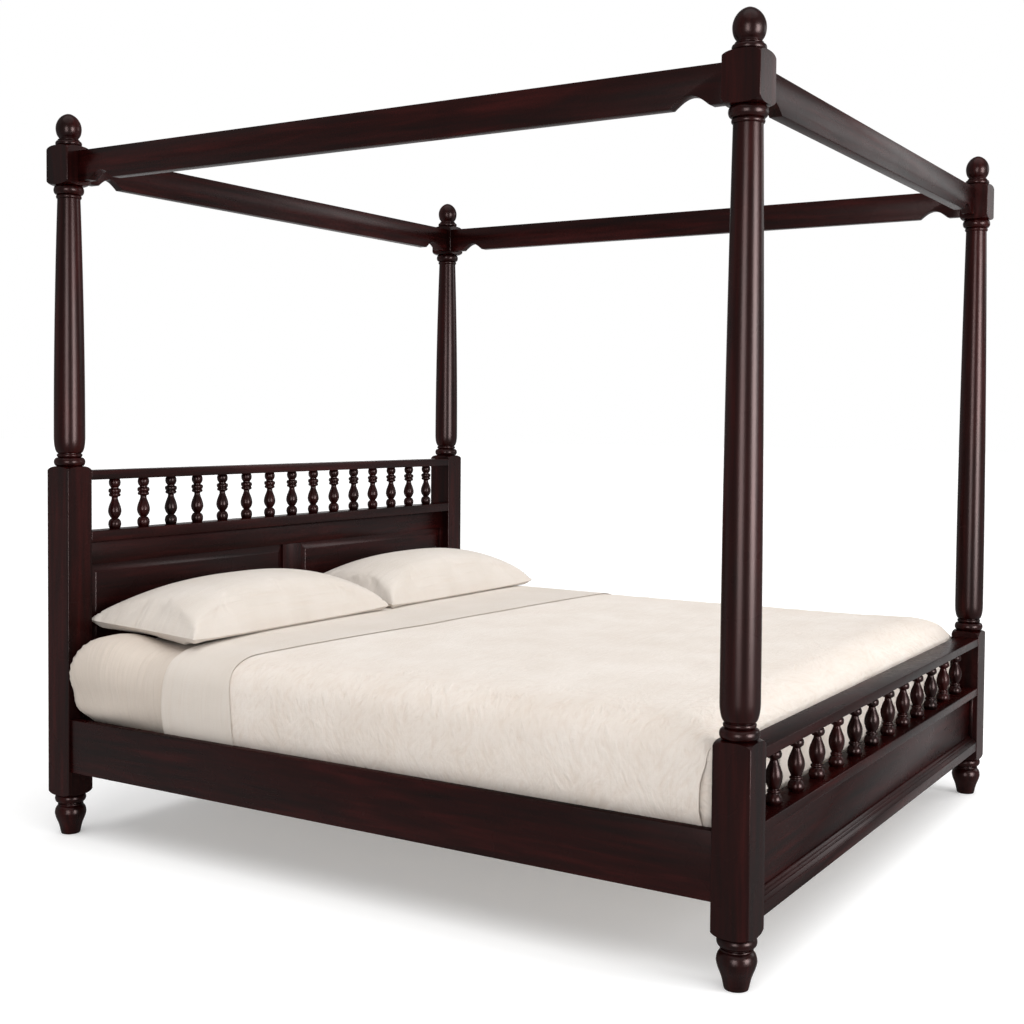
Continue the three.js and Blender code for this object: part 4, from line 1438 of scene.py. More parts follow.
@dataclass
class Form:
    """The shape of a made bed: a barely crowned top out to (flat_x, flat_y), and a contour over its edges."""

    flat_x: float
    flat_y: float
    contour: Contour
    squareness: float = 5.0
    level: float = 0.5
    fall_x: float = 11.3 * MM
    fall_y: float = 5.0 * MM
    fuller_side: float = 0.85
    fuller_foot: float = 2.0
    fuller_run: Span = (-0.3, 0.3)
    clear_x: float = 0.926
    clear_y: float = 1.0205
    clear_run: float = 0.03

    def fall(self, x: Number, y: Number) -> Number:
        """Say how far the top has fallen below its middle. The right side lies fuller.

        Args:
            x: places across the bed.
            y: places along the bed.

        Returns:
            How far the top lies below its middle there.
        """
        share_x = np.maximum(np.abs(x) - self.level, 0) / (self.flat_x - self.level)
        share_y = np.maximum(-y - self.level, 0) / (self.flat_y - self.level)
        right = smooth_step(x, *self.fuller_run)
        at_side = self.fall_x * share_x ** 2 * (1 - self.fuller_side * right)
        return at_side + self.fall_y * share_y ** 2 * (1 - self.fuller_foot * right)

    def clear_of_posts(self, places: np.ndarray) -> np.ndarray:
        """Draw places beside the posts in, so that the cloth stays clear of the posts' inner faces.

        Args:
            places: the cloth's places.

        Returns:
            The places, drawn in where they need it.
        """
        near = smooth_step(np.abs(places[..., 0]), self.clear_x - self.clear_run, self.clear_x)
        y = places[..., 1]
        excess = np.maximum(np.abs(y) - self.clear_y, 0) * near
        return np.stack([places[..., 0], y - np.sign(y) * excess, places[..., 2]], axis=-1)

    def over(self, x: np.ndarray, y: np.ndarray) -> tuple[np.ndarray, np.ndarray]:
        """Measure how far places lie past the flat top, across and along the bed."""
        return np.maximum(np.abs(x) - self.flat_x, 0), np.maximum(np.abs(y) - self.flat_y, 0)

    def spread(self, over_x: np.ndarray, over_y: np.ndarray) -> np.ndarray:
        """Measure how far over its edge the cloth is, with corners that are squarer than a circle."""
        return (over_x ** self.squareness + over_y ** self.squareness) ** (1 / self.squareness)

    def lay(self, u: np.ndarray, v: np.ndarray, head: bool = False) -> np.ndarray:
        """Lay points of flat cloth on the form.

        Args:
            u: distances across the cloth from the middle of the bed.
            v: distances along the cloth.
            head: whether the cloth also falls over the head end.

        Returns:
            The points' places.
        """
        over_x = np.maximum(np.abs(u) - self.flat_x, 0)
        over_y = np.maximum(-self.flat_y - v, 0)
        sign_y = -np.ones_like(v)
        if head:
            past = np.maximum(v - self.flat_y, 0)
            sign_y = np.where(past > 0, 1.0, -1.0)
            over_y = over_y + past
        radius = self.spread(over_x, over_y)
        out, height = self.contour.at(radius)
        share = np.divide(out, radius, out=np.ones_like(out), where=radius > WELD)
        inner_x = np.clip(u, -self.flat_x, self.flat_x)
        inner_y = np.clip(v, -self.flat_y, self.flat_y if head else np.inf)
        x = inner_x + np.sign(u) * over_x * share
        y = inner_y + sign_y * over_y * share
        return self.clear_of_posts(np.stack([x, y, height - self.fall(inner_x, inner_y)], axis=-1))


@dataclass(frozen=True)
class Ripple:
    """A smooth, unordered swell of cloth: its height, its length both ways, and where its pattern is cut."""

    height: float
    across: float
    along: float
    seed: float

    def at(self, u: float, v: float) -> float:
        """Read the height at a point."""
        return self.height * noise.noise(Vector((u / self.across, v / self.along, self.seed)))


SWELL = Ripple(2.2 * MM, 0.32, 0.32, 3.1)


class Cloth:
    """Sheets of cloth, made as a grid over their flat cut. The UV map is that cut, in metres."""

    @staticmethod
    def spaced(start: float, stop: float, step: float) -> np.ndarray:
        """Divide a length into even steps close to a given one."""
        return np.linspace(start, stop, max(2, round(abs(stop - start) / step) + 1))

    @staticmethod
    def weave(name: str, points: np.ndarray, flat: np.ndarray, gaps: Sequence[int] = ()) -> Mesh:
        """Make a mesh from a grid of points.

        Args:
            name: the piece's name.
            points: the points' places, rows by columns by three.
            flat: the points' places in the flat cut, rows by columns by two.
            gaps: rows after which the cloth is slit, so no faces join them to the next.

        Returns:
            The sheet, with its upper face outwards.
        """
        rows, columns = points.shape[:2]
        index = np.arange(rows * columns).reshape(rows, columns)
        faces = []
        for row in range(rows - 1):
            if row in gaps:
                continue
            a, b = index[row], index[row + 1]
            faces.extend(zip(a[:-1].tolist(), a[1:].tolist(), b[1:].tolist(), b[:-1].tolist()))
        mesh = bpy.data.meshes.new(name)
        mesh.from_pydata(points.reshape(-1, 3).tolist(), [], faces)
        corners = np.array([loop.vertex_index for loop in mesh.loops])
        mesh.uv_layers.new(name="flat").data.foreach_set("uv", flat.reshape(-1, 2)[corners].ravel())
        piece = Bench.bring_in(name, mesh)
        with Bench.editing(piece):
            bpy.ops.mesh.remove_doubles(threshold=WELD)
        return piece

    @staticmethod
    def push(piece: Mesh, height: Callable[[Vector, Vector, Vector], float]) -> None:
        """Move every point of a sheet along its normal.

        Args:
            piece: the sheet.
            height: takes a point's place, its normal and its place in the flat cut.
        """
        mesh = piece.data
        flat = np.zeros((len(mesh.vertices), 2))
        uv = mesh.uv_layers[0].data
        for loop in mesh.loops:
            flat[loop.vertex_index] = uv[loop.index].uv
        normals = [vertex.normal.copy() for vertex in mesh.vertices]
        for vertex, normal, place in zip(mesh.vertices, normals, flat):
            vertex.co += normal * height(vertex.co, normal, Vector(place))
        mesh.update()

    @staticmethod
    def thicken(piece: Mesh, thickness: float, offset: float = -1.0) -> None:
        """Give a sheet its thickness, with a closed rim, and shade it smooth."""
        Bench.modify(piece, "SOLIDIFY", thickness=thickness, offset=offset, use_even_offset=False)
        Bench.smooth(piece, 60)


@dataclass
class TurnedSheet:
    """The top sheet turned back over the coverlet: its smooth band and the fold at its head end."""

    fold: float = 0.668
    lift: float = 4.2 * MM
    drop: float = 7.2 * MM
    edge_lift: float = 2.6 * MM
    under: float = 0.05
    short: float = 4 * MM
    thickness: float = 1.2 * MM
    step: float = 12 * MM
    edge_middle: float = 0.3257
    edge_slant: float = 0.071
    edge_sweep: float = 0.0345
    sweep_from: float = 0.4
    hem_left: float = 0.402
    hem_right: float = 0.25
    hem_run: Span = (0.8, 1.12)
    fold_swell: float = 0.2
    fold_run: float = 0.03
    falls: Ripple = Ripple(1.6 * MM, 0.035 / 0.15, 0.035, 2.4)

    def free_edge(self, u: Number) -> Number:
        """Say where the band's free edge lies: slantwise over the top, swept up at the left, down to its hems.

        Args:
            u: distances across the cloth from the middle of the bed.

        Returns:
            The edge's places along the bed.
        """
        swept = (np.maximum(-u - self.sweep_from, 0) / self.sweep_from) ** 2
        top = self.edge_middle - self.edge_slant * u + self.edge_sweep * swept
        hem = np.where(u < 0, self.hem_left, self.hem_right)
        return top + (hem - top) * smooth_step(np.abs(u), *self.hem_run)

    def make(self, form: Form) -> None:
        """Lay the band over the coverlet and turn its fold under.

        Args:
            form: the shape that the coverlet lies on.
        """
        half = form.flat_x + form.contour.total - self.short
        columns = Cloth.spaced(-half, half, self.step)
        edge, radius = self.free_edge(columns), (self.lift + self.drop) / 2
        tip = self.fold - radius
        rows = [
            (edge + (tip - edge) * t, self.edge_lift + (self.lift - self.edge_lift) * smooth_step(t, 0.1, 0.9))
            for t in np.linspace(0, 1, 24)
        ]
        rows += [
            (tip + radius * math.sin(t), self.lift - radius * (1 - math.cos(t)))
            for t in np.linspace(0, math.pi, 9)[1:]
        ]
        rows += [(tip - self.under * t, self.lift - 2 * radius) for t in np.linspace(0, 1, 6)[1:]]
        v, lift = (np.array([np.broadcast_to(row[i], columns.shape) for row in rows]) for i in (0, 1))
        u = np.tile(columns, (len(v), 1))
        steps = np.hypot(np.diff(v, axis=0), np.diff(lift, axis=0))
        ahead = np.concatenate([np.zeros((1, len(columns))), np.cumsum(steps, axis=0)])
        points = form.lay(u, v) + self.outward(form, u, v) * lift[..., None]
        piece = Cloth.weave("turned_back_sheet", points, np.stack([u, edge + ahead], -1))
        Cloth.push(piece, self.crease)
        Cloth.thicken(piece, self.thickness, 1.0)
        Bench.hand_over(piece, SMOOTH_LINEN)

    def outward(self, form: Form, u: np.ndarray, v: np.ndarray) -> np.ndarray:
        """Find the outward directions of the form across the bed.

        Args:
            form: the form.
            u: distances across the cloth.
            v: distances along the cloth.

        Returns:
            The directions, each of length 1.
        """
        run = form.lay(u + MM, v) - form.lay(u - MM, v)
        normal = np.stack([-run[..., 2], np.zeros_like(u), run[..., 0]], -1)
        return normal / np.linalg.norm(normal, axis=-1, keepdims=True)

    def crease(self, place: Vector, normal: Vector, flat: Vector) -> float:
        """Give the height of the band's faint folds, which run down its sides.

        Args:
            place: the point's place.
            normal: its normal.
            flat: its place in the flat cut.

        Returns:
            How far it is moved along its normal.
        """
        falls = self.falls.at(flat.x, flat.y + 0.01 * math.sin(12 * flat.x)) * (1 - abs(normal.z))
        off_fold = smooth_step(self.fold - place.y, 0.0, self.fold_run)
        return (SWELL.at(flat.x, flat.y) + falls) * (self.fold_swell + (1 - self.fold_swell) * off_fold)


@dataclass
class Coverlet:
    """The crinkled coverlet: one cut, slit at both foot corners, over the top, both sides and the foot."""

    band: TurnedSheet
    flat_x: float = CRINKLED_LINEN.turn_x
    flat_y: float = CRINKLED_LINEN.turn_y
    slit: float = 0.118
    tuck: float = 10 * MM
    ear_radius: float = 0.03
    head_edge: float = 0.66
    thickness: float = 2.2 * MM
    step: float = 12 * MM
    pleat_at: tuple[float, ...] = (0.126, 0.21, 0.28, 0.345)
    pleat_reach: tuple[float, ...] = (1.0, 0.8, 0.775, 0.87)
    pucker: Ripple = Ripple(1.4 * MM, 0.04 / 0.35, 0.04, 7.7)
    side_falls: Ripple = Ripple(2.6 * MM, 0.07 / 0.12, 0.07, 11.3)
    foot_falls: Ripple = Ripple(3.6 * MM, 0.07, 0.07 / 0.12, 5.9)
    foot_face: float = -0.99
    groove_start: float = -1.0235
    groove_width: float = 38.5 * MM
    groove_depth: float = 7 * MM
    groove_run: float = 0.05
    dent: float = 1.5 * MM
    dent_full: float = 1.03
    dent_run: float = 0.03
    side_blend: float = 0.06
    foot_blend: float = 0.05
    wander: float = 0.02
    wander_rate: float = 9.0
    post_x: Span = (0.88, 0.93)
    post_y: Span = (0.96, 1.0)
    calm_by_post: float = 0.85
    bare_run: Span = (-0.05, 0.01)

    def contour(self) -> Contour:
        """Draw the cloth's line over the edge of the bed down to its hem behind the rail.

        Returns:
            The line.
        """
        return Contour([
            (0, 0.5905), (0.023, 0.5886), (0.05, 0.583), (0.078, 0.5732), (0.098, 0.5625), (0.113, 0.5475),
            (0.1235, 0.5305), (0.1305, 0.511), (0.1365, 0.4765), (0.139, 0.4415), (0.1375, 0.415),
            (0.135, 0.396), (0.129, 0.3695), (0.123, 0.3415),
        ])

    def form(self) -> Form:
        """Return the shape that the coverlet lies on."""
        return Form(self.flat_x, self.flat_y, self.contour())

    def corner(self, u: np.ndarray, v: np.ndarray, ear: np.ndarray) -> np.ndarray:
        """Lay the cloth, with the flaps beside each slit brought to their own places.

        Args:
            u: distances across the cloth.
            v: distances along the cloth.
            ear: where the cloth belongs to the foot's flap.

        Returns:
            The points' places.
        """
        form = self.form()
        laid = form.lay(u, v)
        over_x = np.maximum(np.abs(u) - self.flat_x, 0)
        over_y = np.maximum(-self.flat_y - v, 0)
        side = np.sign(u)
        fall = form.fall(side * self.flat_x, -self.flat_y)
        out, height = form.contour.at(over_x)
        reach = np.interp(over_x, self.pleat_at, self.pleat_reach)
        straight = np.stack([side * (self.flat_x + out), -self.flat_y - over_y * reach, height - fall], axis=-1)
        share = smooth_step(over_x, self.slit, self.slit + self.side_blend) * (over_y > 0) * ~ear
        out, height = form.contour.at(over_y)
        run = out - self.tuck - self.ear_radius
        turn = np.clip((over_x - run) / self.ear_radius, 0, math.pi / 2)
        spare = np.maximum(over_x - run - self.ear_radius * math.pi / 2, 0)
        flat_u = np.minimum(np.abs(u), self.flat_x)
        wrapped = np.stack([
            side * (flat_u + np.minimum(over_x, run) + self.ear_radius * np.sin(turn)),
            -self.flat_y - out + self.ear_radius * (1 - np.cos(turn)) + spare,
            height - form.fall(side * flat_u, -self.flat_y),
        ], axis=-1)
        loose = over_x > self.slit + WELD
        blend = smooth_step(over_y, self.slit, self.slit + self.foot_blend)
        wrap = np.where(loose, 1.0, blend) * (ear & (over_x > 0))
        laid = laid * (1 - share[..., None]) + straight * share[..., None]
        return form.clear_of_posts(laid * (1 - wrap[..., None]) + wrapped * wrap[..., None])

    def make(self) -> None:
        """Cut, lay, crease and thicken the coverlet."""
        total = self.contour().total
        half, foot = self.flat_x + total, -self.flat_y - total
        arm = Cloth.spaced(self.flat_x + self.slit, half, self.step)
        middle = Cloth.spaced(-self.flat_x - self.slit, self.flat_x + self.slit, self.step)[1:-1]
        edge = -self.flat_y - self.slit
        lower, upper = Cloth.spaced(foot, edge, self.step), Cloth.spaced(edge, self.head_edge, self.step)
        u, v = np.meshgrid(np.concatenate([-arm[::-1], middle, arm]), np.concatenate([lower, upper]))
        ear = np.zeros_like(u, bool)
        ear[: len(lower)] = True
        points = self.corner(u, v, ear)
        piece = Cloth.weave("coverlet_cloth", points, np.stack([u, v], -1), gaps=[len(lower) - 1])
        Cloth.push(piece, self.crease)
        Cloth.thicken(piece, self.thickness)
        Bench.hand_over(piece, CRINKLED_LINEN, "coverlet")

    def groove(self, place: Vector, flat: Vector) -> float:
        """Give the height of the groove that the cloth's flap makes beside its slit.

        Args:
            place: the point's place.
            flat: its place in the flat cut.

        Returns:
            The groove's height.
        """
        if abs(flat.x) <= self.flat_x + self.slit / 2:
            return 0.0
        past = -flat.y - self.flat_y - self.slit
        if past > WELD:
            across = min(max((place.y - self.groove_start) / self.groove_width, 0.0), 1.0)
            return self.groove_depth * math.sin(math.pi * across) * smooth_step(past, 0.0, self.groove_run)
        beside = smooth_step(abs(flat.x), self.flat_x + self.slit, self.dent_full)
        return self.dent * smooth_step(past, -self.dent_run, 0.0) * beside

    def crease(self, place: Vector, normal: Vector, flat: Vector) -> float:
        """Give the height of the coverlet's soft folds at a point, which is bare of them under the band.

        Args:
            place: the point's place.
            normal: its normal.
            flat: its place in the flat cut.

        Returns:
            How far it is moved along its normal.
        """
        if place.y < self.foot_face:
            falls = self.foot_falls.at(flat.x + self.wander * math.sin(self.wander_rate * flat.y), flat.y)
        else:
            falls = self.side_falls.at(flat.x, flat.y + self.wander * math.sin(self.wander_rate * flat.x))
        by_post = smooth_step(abs(place.x), *self.post_x) * smooth_step(-place.y, *self.post_y)
        bare = 1 - smooth_step(place.y - float(self.band.free_edge(flat.x)), *self.bare_run)
        folds = (self.pucker.at(flat.x, flat.y) + falls * (1 - abs(normal.z))) * bare
        return SWELL.at(flat.x, flat.y) + folds * (1 - self.calm_by_post * by_post) + self.groove(place, flat)


@dataclass
class MattressBlock:
    """The mattress in its fitted sheet, which shows at the head of the bed."""

    flat_x: float = 0.868
    flat_y: float = 0.894
    room: float = 4 * MM
    waist: float = 0.45
    slack: float = 30 * MM
    corner_rise: float = 40 * MM
    side_bulge: float = 31 * MM
    sheet_step: float = 14 * MM
    sheet_thickness: float = 0.8 * MM
    upright_radius: float = 0.08
    rim_radius: float = 0.05
    voxel: float = 22 * MM
    rise_x: Span = (0.78, 0.92)
    rise_y: Span = (0.72, 0.9)
    bulge_facing: Span = (0.2, 0.7)
    bulge_y: Span = (0.7, 0.95)
    bulge_z: Span = (0.34, 0.4)
    folds_facing: Span = (0.25, 0.8)
    pulled_y: Span = (0.72, 0.92)
    low_top: float = 0.47
    low_run: float = 0.1
    low_slant: float = 0.7
    turn_in: float = 0.02
    turn_radius: float = 0.13
    lean: float = 0.5
    lean_y: float = 0.93
    lean_z: float = 0.4
    pulled: Ripple = Ripple(1.5 * MM, 0.03, 0.3, 4.2)
    low_folds: Ripple = Ripple(1.8 * MM, 0.035, 0.4, 2.6)
    faint: Ripple = Ripple(1.0 * MM, 0.16, 0.04, 9.1)

    def contour(self) -> Contour:
        """Draw the sheet's line over the edge of the mattress and in under it.

        Returns:
            The line.
        """
        return Contour([
            (0, 0.5805), (0.024, 0.579), (0.052, 0.5735), (0.077, 0.5635), (0.097, 0.5495), (0.112, 0.53),
            (0.1225, 0.506), (0.128, 0.478), (0.1285, 0.448), (0.1255, 0.418), (0.119, 0.39), (0.109, 0.363),
            (0.094, 0.339), (0.074, 0.3225), (0.047, 0.3155), (0.012, 0.314),
        ])

    def form(self) -> Form:
        """Return the shape that the fitted sheet lies on."""
        return Form(self.flat_x, self.flat_y, self.contour(), squareness=8.0, fall_x=12 * MM, fall_y=8 * MM)

    def rise(self, x: Number, y: Number) -> Number:
        """Say how far the mattress stands up at its head corners, where the pillows leave it bare."""
        return self.corner_rise * smooth_step(np.abs(x), *self.rise_x) * smooth_step(y, *self.rise_y)

    def block(self) -> None:
        """Shape the mattress and let its filling press it out."""
        low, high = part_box("mattress")
        start, stop = Vector((self.slack, self.slack, 2 * MM)), Vector((self.slack, self.slack, 8 * MM))
        core = Bench.block("mattress_block", low + start, high - stop)
        with Bench.editing(core):
            Bench.round_off(core, lambda way: abs(way.z) > 0.9, self.upright_radius, 6)
            Bench.round_off(core, lambda way: abs(way.z) < 0.1, self.rim_radius, 5)
        Bench.modify(core, "REMESH", mode="VOXEL", voxel_size=self.voxel)
        Filling(pressure=3.0, frames=12, cap=5 * MM).press(core)
        Bench.modify(core, "SMOOTH", factor=0.5, iterations=4)
        self.lower(core)
        Bench.smooth(core, 60)
        Bench.hand_over(core, LINEN_TICKING, "mattress")

    def lower(self, core: Mesh) -> None:
        """Keep the mattress a little under its sheet, whose top falls towards its edges.

        Args:
            core: the mattress.
        """
        form = self.form()
        x, y, z = Bench.corners(core).T
        widest = int(form.contour.out.argmax())
        out, height = form.contour.out[:widest], form.contour.height[:widest]
        ceiling = np.interp(form.spread(*form.over(x, y)), out, height) - self.room
        ceiling -= form.fall(np.clip(x, -self.flat_x, self.flat_x), np.clip(y, -self.flat_y, self.flat_y))
        z = np.where(z > self.waist, np.minimum(z, ceiling), z)
        Bench.move_corners(core, np.stack([x, y, z], -1))

    def sheet(self) -> None:
        """Stretch the fitted sheet over the mattress, with its folds pulled at the corners."""
        form = self.form()
        total = form.contour.total
        half_x, half_y = self.flat_x + total, self.flat_y + total
        u, v = np.meshgrid(*(Cloth.spaced(-half, half, self.sheet_step) for half in (half_x, half_y)))
        over_x, over_y = form.over(u, v)
        both = (over_x > 0) & (over_y > 0)
        shrunk = np.maximum(over_x, over_y) / np.maximum(form.spread(over_x, over_y), WELD)
        shrink = np.where(both, shrunk, 1.0)
        flat_u = np.sign(u) * (np.minimum(np.abs(u), self.flat_x) + over_x * shrink)
        flat_v = np.sign(v) * (np.minimum(np.abs(v), self.flat_y) + over_y * shrink)
        piece = Cloth.weave("fitted_sheet", form.lay(flat_u, flat_v, head=True), np.stack([u, v], -1))
        Cloth.push(piece, self.crease)
        Bench.modify(piece, "SMOOTH", factor=0.5, iterations=4)
        Cloth.thicken(piece, self.sheet_thickness)
        # The darker linen's painted shade stands for the shade at the head of the bed.
        Bench.hand_over(piece, SHADED_FITTED_LINEN)

    def crease(self, place: Vector, normal: Vector, flat: Vector) -> float:
        """Give the height of the fitted sheet's folds: pulled upright at its corners, faint elsewhere.

        Args:
            place: the point's place.
            normal: its normal.
            flat: its place in the flat cut.

        Returns:
            How far it is moved along its normal.
        """
        upright = smooth_step(1 - abs(normal.z), *self.folds_facing)
        past_x, past_y = abs(place.x) - self.flat_x + self.turn_in, abs(place.y) - self.flat_y + self.turn_in
        turned = self.flat_y + self.turn_radius * math.atan2(past_y, past_x)
        along = place.y if abs(place.y) < self.flat_y else turned
        leaning = along + self.lean * (place.z - self.lean_z) * (self.lean_y - abs(place.y))
        low = self.low_folds.at(along + self.low_slant * place.z, place.z)
        low *= smooth_step(self.low_top - place.z, 0.0, self.low_run)
        pulled = (self.pulled.at(leaning, place.z) + low) * smooth_step(abs(place.y), *self.pulled_y)
        side = smooth_step(abs(normal.x), *self.bulge_facing) * smooth_step(place.z, *self.bulge_z)
        bulge = self.side_bulge * side * smooth_step(place.y, *self.bulge_y)
        rise = self.rise(place.x, place.y) * math.sqrt(max(normal.z, 0))
        return (pulled + self.faint.at(flat.x, flat.y)) * upright + bulge + rise


@dataclass
class Filling:
    """A filling that presses a closed cover outwards, which stretches and bends little."""

    pressure: float = 4.0
    frames: int = 20
    cap: float = 16 * MM
    stiffness: float = 15.0
    bending: float = 0.5

    def press(self, piece: Mesh) -> None:
        """Let the filling press the cover out, and keep what it has moved within the cap.

        Args:
            piece: the closed cover.
        """
        scene = bpy.context.scene
        start = Bench.corners(piece)
        Bench.pick(piece)
        modifier = piece.modifiers.new("filling", "CLOTH")
        settings = modifier.settings
        settings.quality = 5
        settings.use_pressure = True
        settings.uniform_pressure_force = self.pressure
        settings.effector_weights.gravity = 0
        settings.tension_stiffness = settings.compression_stiffness = self.stiffness
        settings.bending_stiffness = self.bending
        modifier.point_cache.frame_start, modifier.point_cache.frame_end = 1, self.frames
        for frame in range(1, self.frames + 1):
            scene.frame_set(frame)
        bpy.ops.object.modifier_apply(modifier=modifier.name)
        scene.frame_set(1)
        shift = Bench.corners(piece) - start
        reach = np.linalg.norm(shift, axis=1, keepdims=True)
        shift *= np.minimum(1, self.cap / np.maximum(reach, 1e-9))
        Bench.move_corners(piece, start + shift)
        log.info("%s: pressed out by up to %.1f mm", piece.name, float(reach.max()) / MM)


@dataclass
class Pillow:
    """A pillow of two panels sewn edge to edge, filled, and resting on the turned-back sheet."""

    mattress: MattressBlock
    width: float = 0.914
    depth: float = 0.436
    thickness: float = 0.172
    upper_share: float = 0.66
    lower_share: float = 0.22
    cells: tuple[int, int] = (124, 60)
    overhang: float = 14 * MM
    rim: float = 0.599
    tilt: float = 0.023
    corner_rise: float = 7 * MM
    ground: float = 0.5835
    band_rise: float = 12.7 * MM
    soft: float = 4 * MM
    band_run: Span = (-0.71, -0.672)
    rise_share: float = 0.65

    def cover(self) -> Mesh:
        """Sew two flat panels into a slack, closed cover with pointed corners.

        Returns:
            The cover.
        """
        s, t = np.meshgrid(*(np.linspace(-1, 1, cells + 1) for cells in self.cells))
        swell = np.clip((1 - np.abs(s) ** 2.6) * (1 - np.abs(t) ** 2.2), 0, 1) ** 0.62
        x = s * self.width / 2 * (1 - 0.035 * (1 - t ** 2))
        y = t * self.depth / 2 * (1 - 0.05 * (1 - s ** 2))
        flat = np.stack([s * self.width / 2, t * self.depth / 2], -1)
        upper = Cloth.weave("upper", np.stack([x, y, swell * self.thickness * self.upper_share], -1), flat)
        below = -swell * self.thickness * self.lower_share
        lower = Cloth.weave("lower", np.stack([x, y, below], -1), flat + 2.0)
        lower.data.flip_normals()
        cover = Bench.join([upper, lower], "pillow_cover")
        with Bench.editing(cover):
            bpy.ops.mesh.remove_doubles(threshold=WELD)
        return cover

    def make(self) -> None:
        """Fill one cover, then lay it and its turned twin on the bed."""
        cover = self.cover()
        Filling(pressure=4.0, frames=24, cap=26 * MM).press(cover)
        for side in Side:
            node = named("pillow", side)
            piece = Bench.copy(cover, f"{node}_filled", mirror=side is Side.LEFT)
            self.rest(piece, *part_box(node))
            Bench.smooth(piece, 50)
            Bench.hand_over(piece, PILLOW_LINEN, node)
        bpy.data.objects.remove(cover)

    def rest(self, piece: Mesh, low: Vector, high: Vector) -> None:
        """Size a filled cover to its place, tilt it to the headboard and flatten what it rests on.

        Args:
            piece: the filled cover.
            low: the lowest corner of its place.
            high: the highest corner of its place.
        """
        co = Bench.corners(piece)
        span = co.max(0) - co.min(0)
        middle = (co.max(0) + co.min(0)) / 2
        size = np.array(high - low)
        centre = np.array(low + high) / 2
        size[0] += self.overhang
        centre[0] += math.copysign(self.overhang / 2, centre[0])
        across, along = ((co[:, :2] - middle[:2]) / (span[:2] / 2)).T
        x, y = ((co[:, :2] - middle[:2]) * (size[:2] / span[:2]) + centre[:2]).T
        rim = self.rim + self.tilt * (along + 1) / 2 + self.corner_rise * np.abs(across) ** 6
        rise = (high.z - rim) / max(co[:, 2].max(), 1e-6)
        z = rim + np.where(co[:, 2] > 0, co[:, 2] * rise, co[:, 2])
        ground = self.ground + self.band_rise * smooth_step(-y, *self.band_run)
        ground += self.rise_share * self.mattress.rise(x, y)
        over = z - ground
        z = ground + np.where(over > self.soft, over, self.soft * np.exp((over - self.soft) / self.soft))
        Bench.move_corners(piece, np.stack([x, y, z], -1))


# Studio


@dataclass(frozen=True)
class Panel:
    """A lit panel of the studio, with its width and height in metres and its power in watts."""

    name: str
    place: Point
    target: Point
    size: tuple[float, float]
    power: float
    glints_only: bool = False

    def hang(self) -> None:
        """Hang the panel facing its target. One for glints adds no light to matt surfaces."""
        data = bpy.data.lights.new(self.name, "AREA")
        data.shape = "RECTANGLE"
        data.size, data.size_y = self.size
        data.energy = self.power
        lamp = Bench.bring_in(self.name, data)
        lamp.location = self.place
        lamp.visible_diffuse = not self.glints_only
        lamp.rotation_euler = (Vector(self.target) - Vector(self.place)).to_track_quat("-Z", "Y").to_euler()


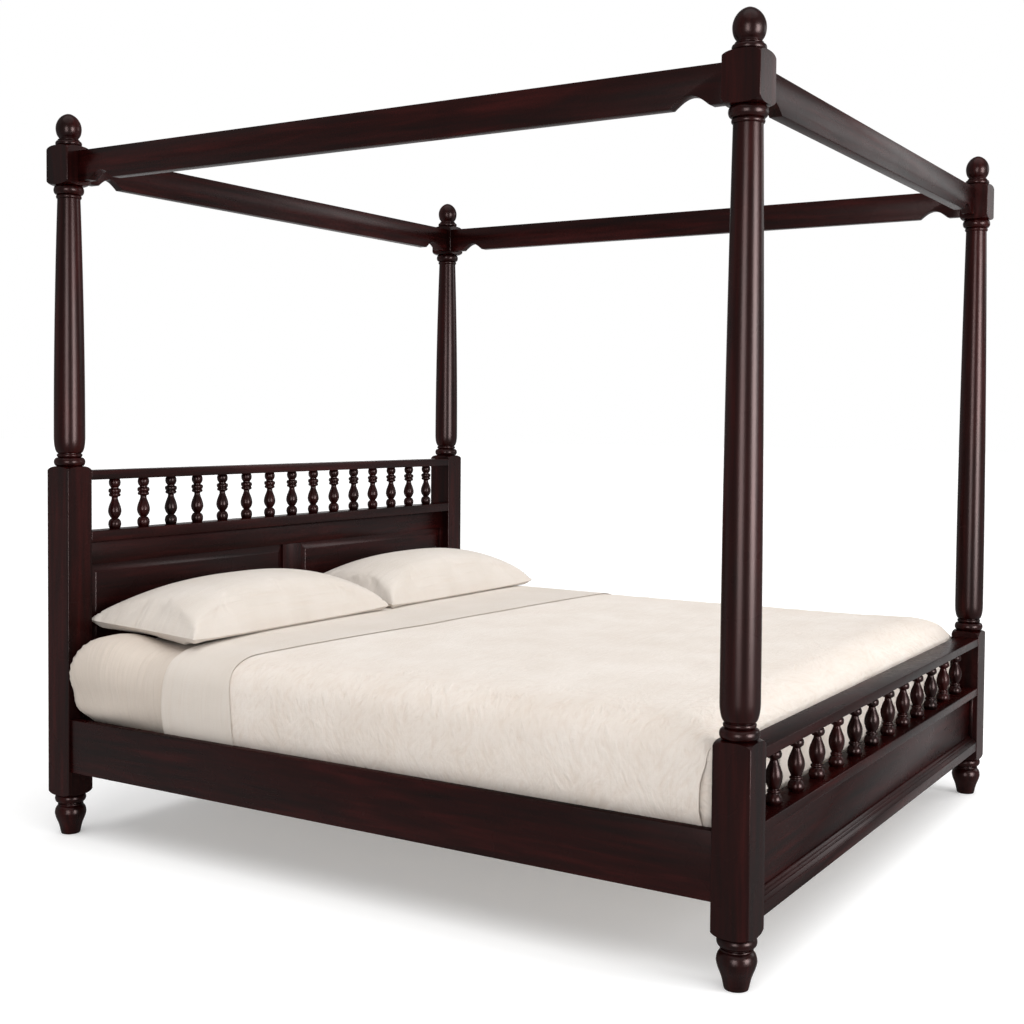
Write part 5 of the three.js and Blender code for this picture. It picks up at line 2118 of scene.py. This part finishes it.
@dataclass
class Studio:
    """A white floor, soft light and the camera."""

    place: Point = (-3.8535, -2.2622, 1.245)
    yaw: float = -58.123
    pitch: float = -2.037
    roll: float = 0.468
    focal: float = 1412.4
    axis_row: float = 470.6
    picture: int = 1024
    sensor: float = 36.0
    ambient: float = 0.33
    floor_grey: float = 0.8
    floor_glow: float = 0.3
    sun: float = 2.42
    sun_spread: float = 70.0
    sun_tilt: Point = (10.0, -12.0, 0.0)
    panels: tuple[Panel, ...] = (
        Panel("side_box", (-6.4, -1.5, 1.8), (-1, -0.8, 1.0), (1.2, 2.6), 42),
        Panel("foot_box", (0.2, -6.8, 1.9), (-0.6, -1, 1.0), (1.7, 2.6), 180),
        Panel("right_box", (6.0, -4.6, 3.2), (0, 0.6, 0.8), (3.0, 2.2), 70),
        Panel("side_glint", (-6.4, -2.2, 1.55), (-1, -1.1, 1.55), (2.2, 3.1), 660, glints_only=True),
        Panel("foot_glint", (-1.7, -6.8, 1.6), (-1, -1.1, 1.6), (2.6, 3.2), 1600, glints_only=True),
        Panel("right_glint", (6.0, -3.6, 3.1), (0, 1.0, 0.8), (2.4, 1.8), 55, glints_only=True),
    )

    def camera(self) -> None:
        """Set the camera at the photograph's place."""
        data = bpy.data.cameras.new("camera")
        data.sensor_width = self.sensor
        data.lens = self.focal / self.picture * self.sensor
        data.shift_y = self.axis_row / self.picture - 0.5
        data.clip_end = 200.0
        camera = Bench.bring_in("camera", data)
        yaw, pitch, roll = (math.radians(angle) for angle in (self.yaw, self.pitch, self.roll))
        forward = Vector((-math.sin(yaw) * math.cos(pitch), math.cos(yaw) * math.cos(pitch), math.sin(pitch)))
        right = forward.cross(Vector((0, 0, 1))).normalized()
        up = right.cross(forward)
        right, up = right * math.cos(roll) + up * math.sin(roll), up * math.cos(roll) - right * math.sin(roll)
        turn = Matrix((right, up, -forward)).transposed().to_4x4()
        camera.matrix_world = Matrix.Translation(self.place) @ turn
        bpy.context.scene.camera = camera

    def world(self) -> None:
        """Light the room evenly, and let it show white behind the bed and in its reflections."""
        world = bpy.data.worlds.new("studio")
        bpy.context.scene.world = world
        world.use_nodes = True
        nodes = Nodes(world.node_tree)
        strength = nodes.spread(nodes.seen(), self.ambient, 1.0)
        background = nodes.add("ShaderNodeBackground", {"Color": (1, 1, 1, 1), "Strength": strength})
        nodes.add("ShaderNodeOutputWorld", {"Surface": background.outputs[0]})

    def floor(self) -> None:
        """Lay a white floor that keeps the bed's shadow and is white where the light reaches it."""
        Bench.clear()
        bpy.ops.mesh.primitive_plane_add(size=120, location=(0, 0, 0))
        floor = bpy.context.object
        floor.name = "studio_floor"
        material = bpy.data.materials.new("studio_floor")
        material.use_nodes = True
        nodes = Nodes(material.node_tree)
        matt = nodes.add("ShaderNodeBsdfDiffuse", {"Color": (*[self.floor_grey] * 3, 1)})
        glow = nodes.add("ShaderNodeEmission", {"Strength": nodes.spread(nodes.seen(), 0.0, self.floor_glow)})
        both = nodes.add("ShaderNodeAddShader", {0: matt.outputs[0], 1: glow.outputs[0]})
        nodes.add("ShaderNodeOutputMaterial", {"Surface": both.outputs[0]})
        floor.data.materials.append(material)

    def lights(self) -> None:
        """Hang the sun overhead and the panels: three soft boxes, and three whose glints run down the posts."""
        data = bpy.data.lights.new("overhead", "SUN")
        data.energy = self.sun
        data.angle = math.radians(self.sun_spread)
        sun = Bench.bring_in("overhead", data)
        sun.rotation_euler = [math.radians(angle) for angle in self.sun_tilt]
        for panel in self.panels:
            panel.hang()

    def set_up(self) -> None:
        """Set up the camera, the room and the lights."""
        self.camera()
        self.world()
        self.floor()
        self.lights()
        bpy.context.scene.view_settings.view_transform = "Standard"


def main() -> None:
    """Build the bed, piece by piece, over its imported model."""
    logging.basicConfig(level=logging.INFO, format="%(name)s: %(message)s")
    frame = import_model()
    Studio().set_up()
    inner_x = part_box("post_foot_right")[0].x
    inner_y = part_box("post_head_right")[0].y
    middle_x, middle_y = inner_x + Post.square / 2, inner_y + Post.square / 2
    Post(End.FOOT).make(middle_x, middle_y)
    Post(End.HEAD, block_top=1098 * MM).make(middle_x, middle_y)
    Finial().make(middle_x, middle_y)
    TesterRails().make(inner_x, inner_y)
    Headboard().make(inner_x)
    Footboard().make(inner_x)
    for side in Side:
        SideRail(side).make(inner_y)
    Underframe().make(frame["nodes"])
    mattress = MattressBlock()
    mattress.block()
    mattress.sheet()
    band = TurnedSheet()
    coverlet = Coverlet(band)
    coverlet.make()
    band.make(coverlet.form())
    Pillow(mattress).make()


if __name__ == "__main__":
    main()
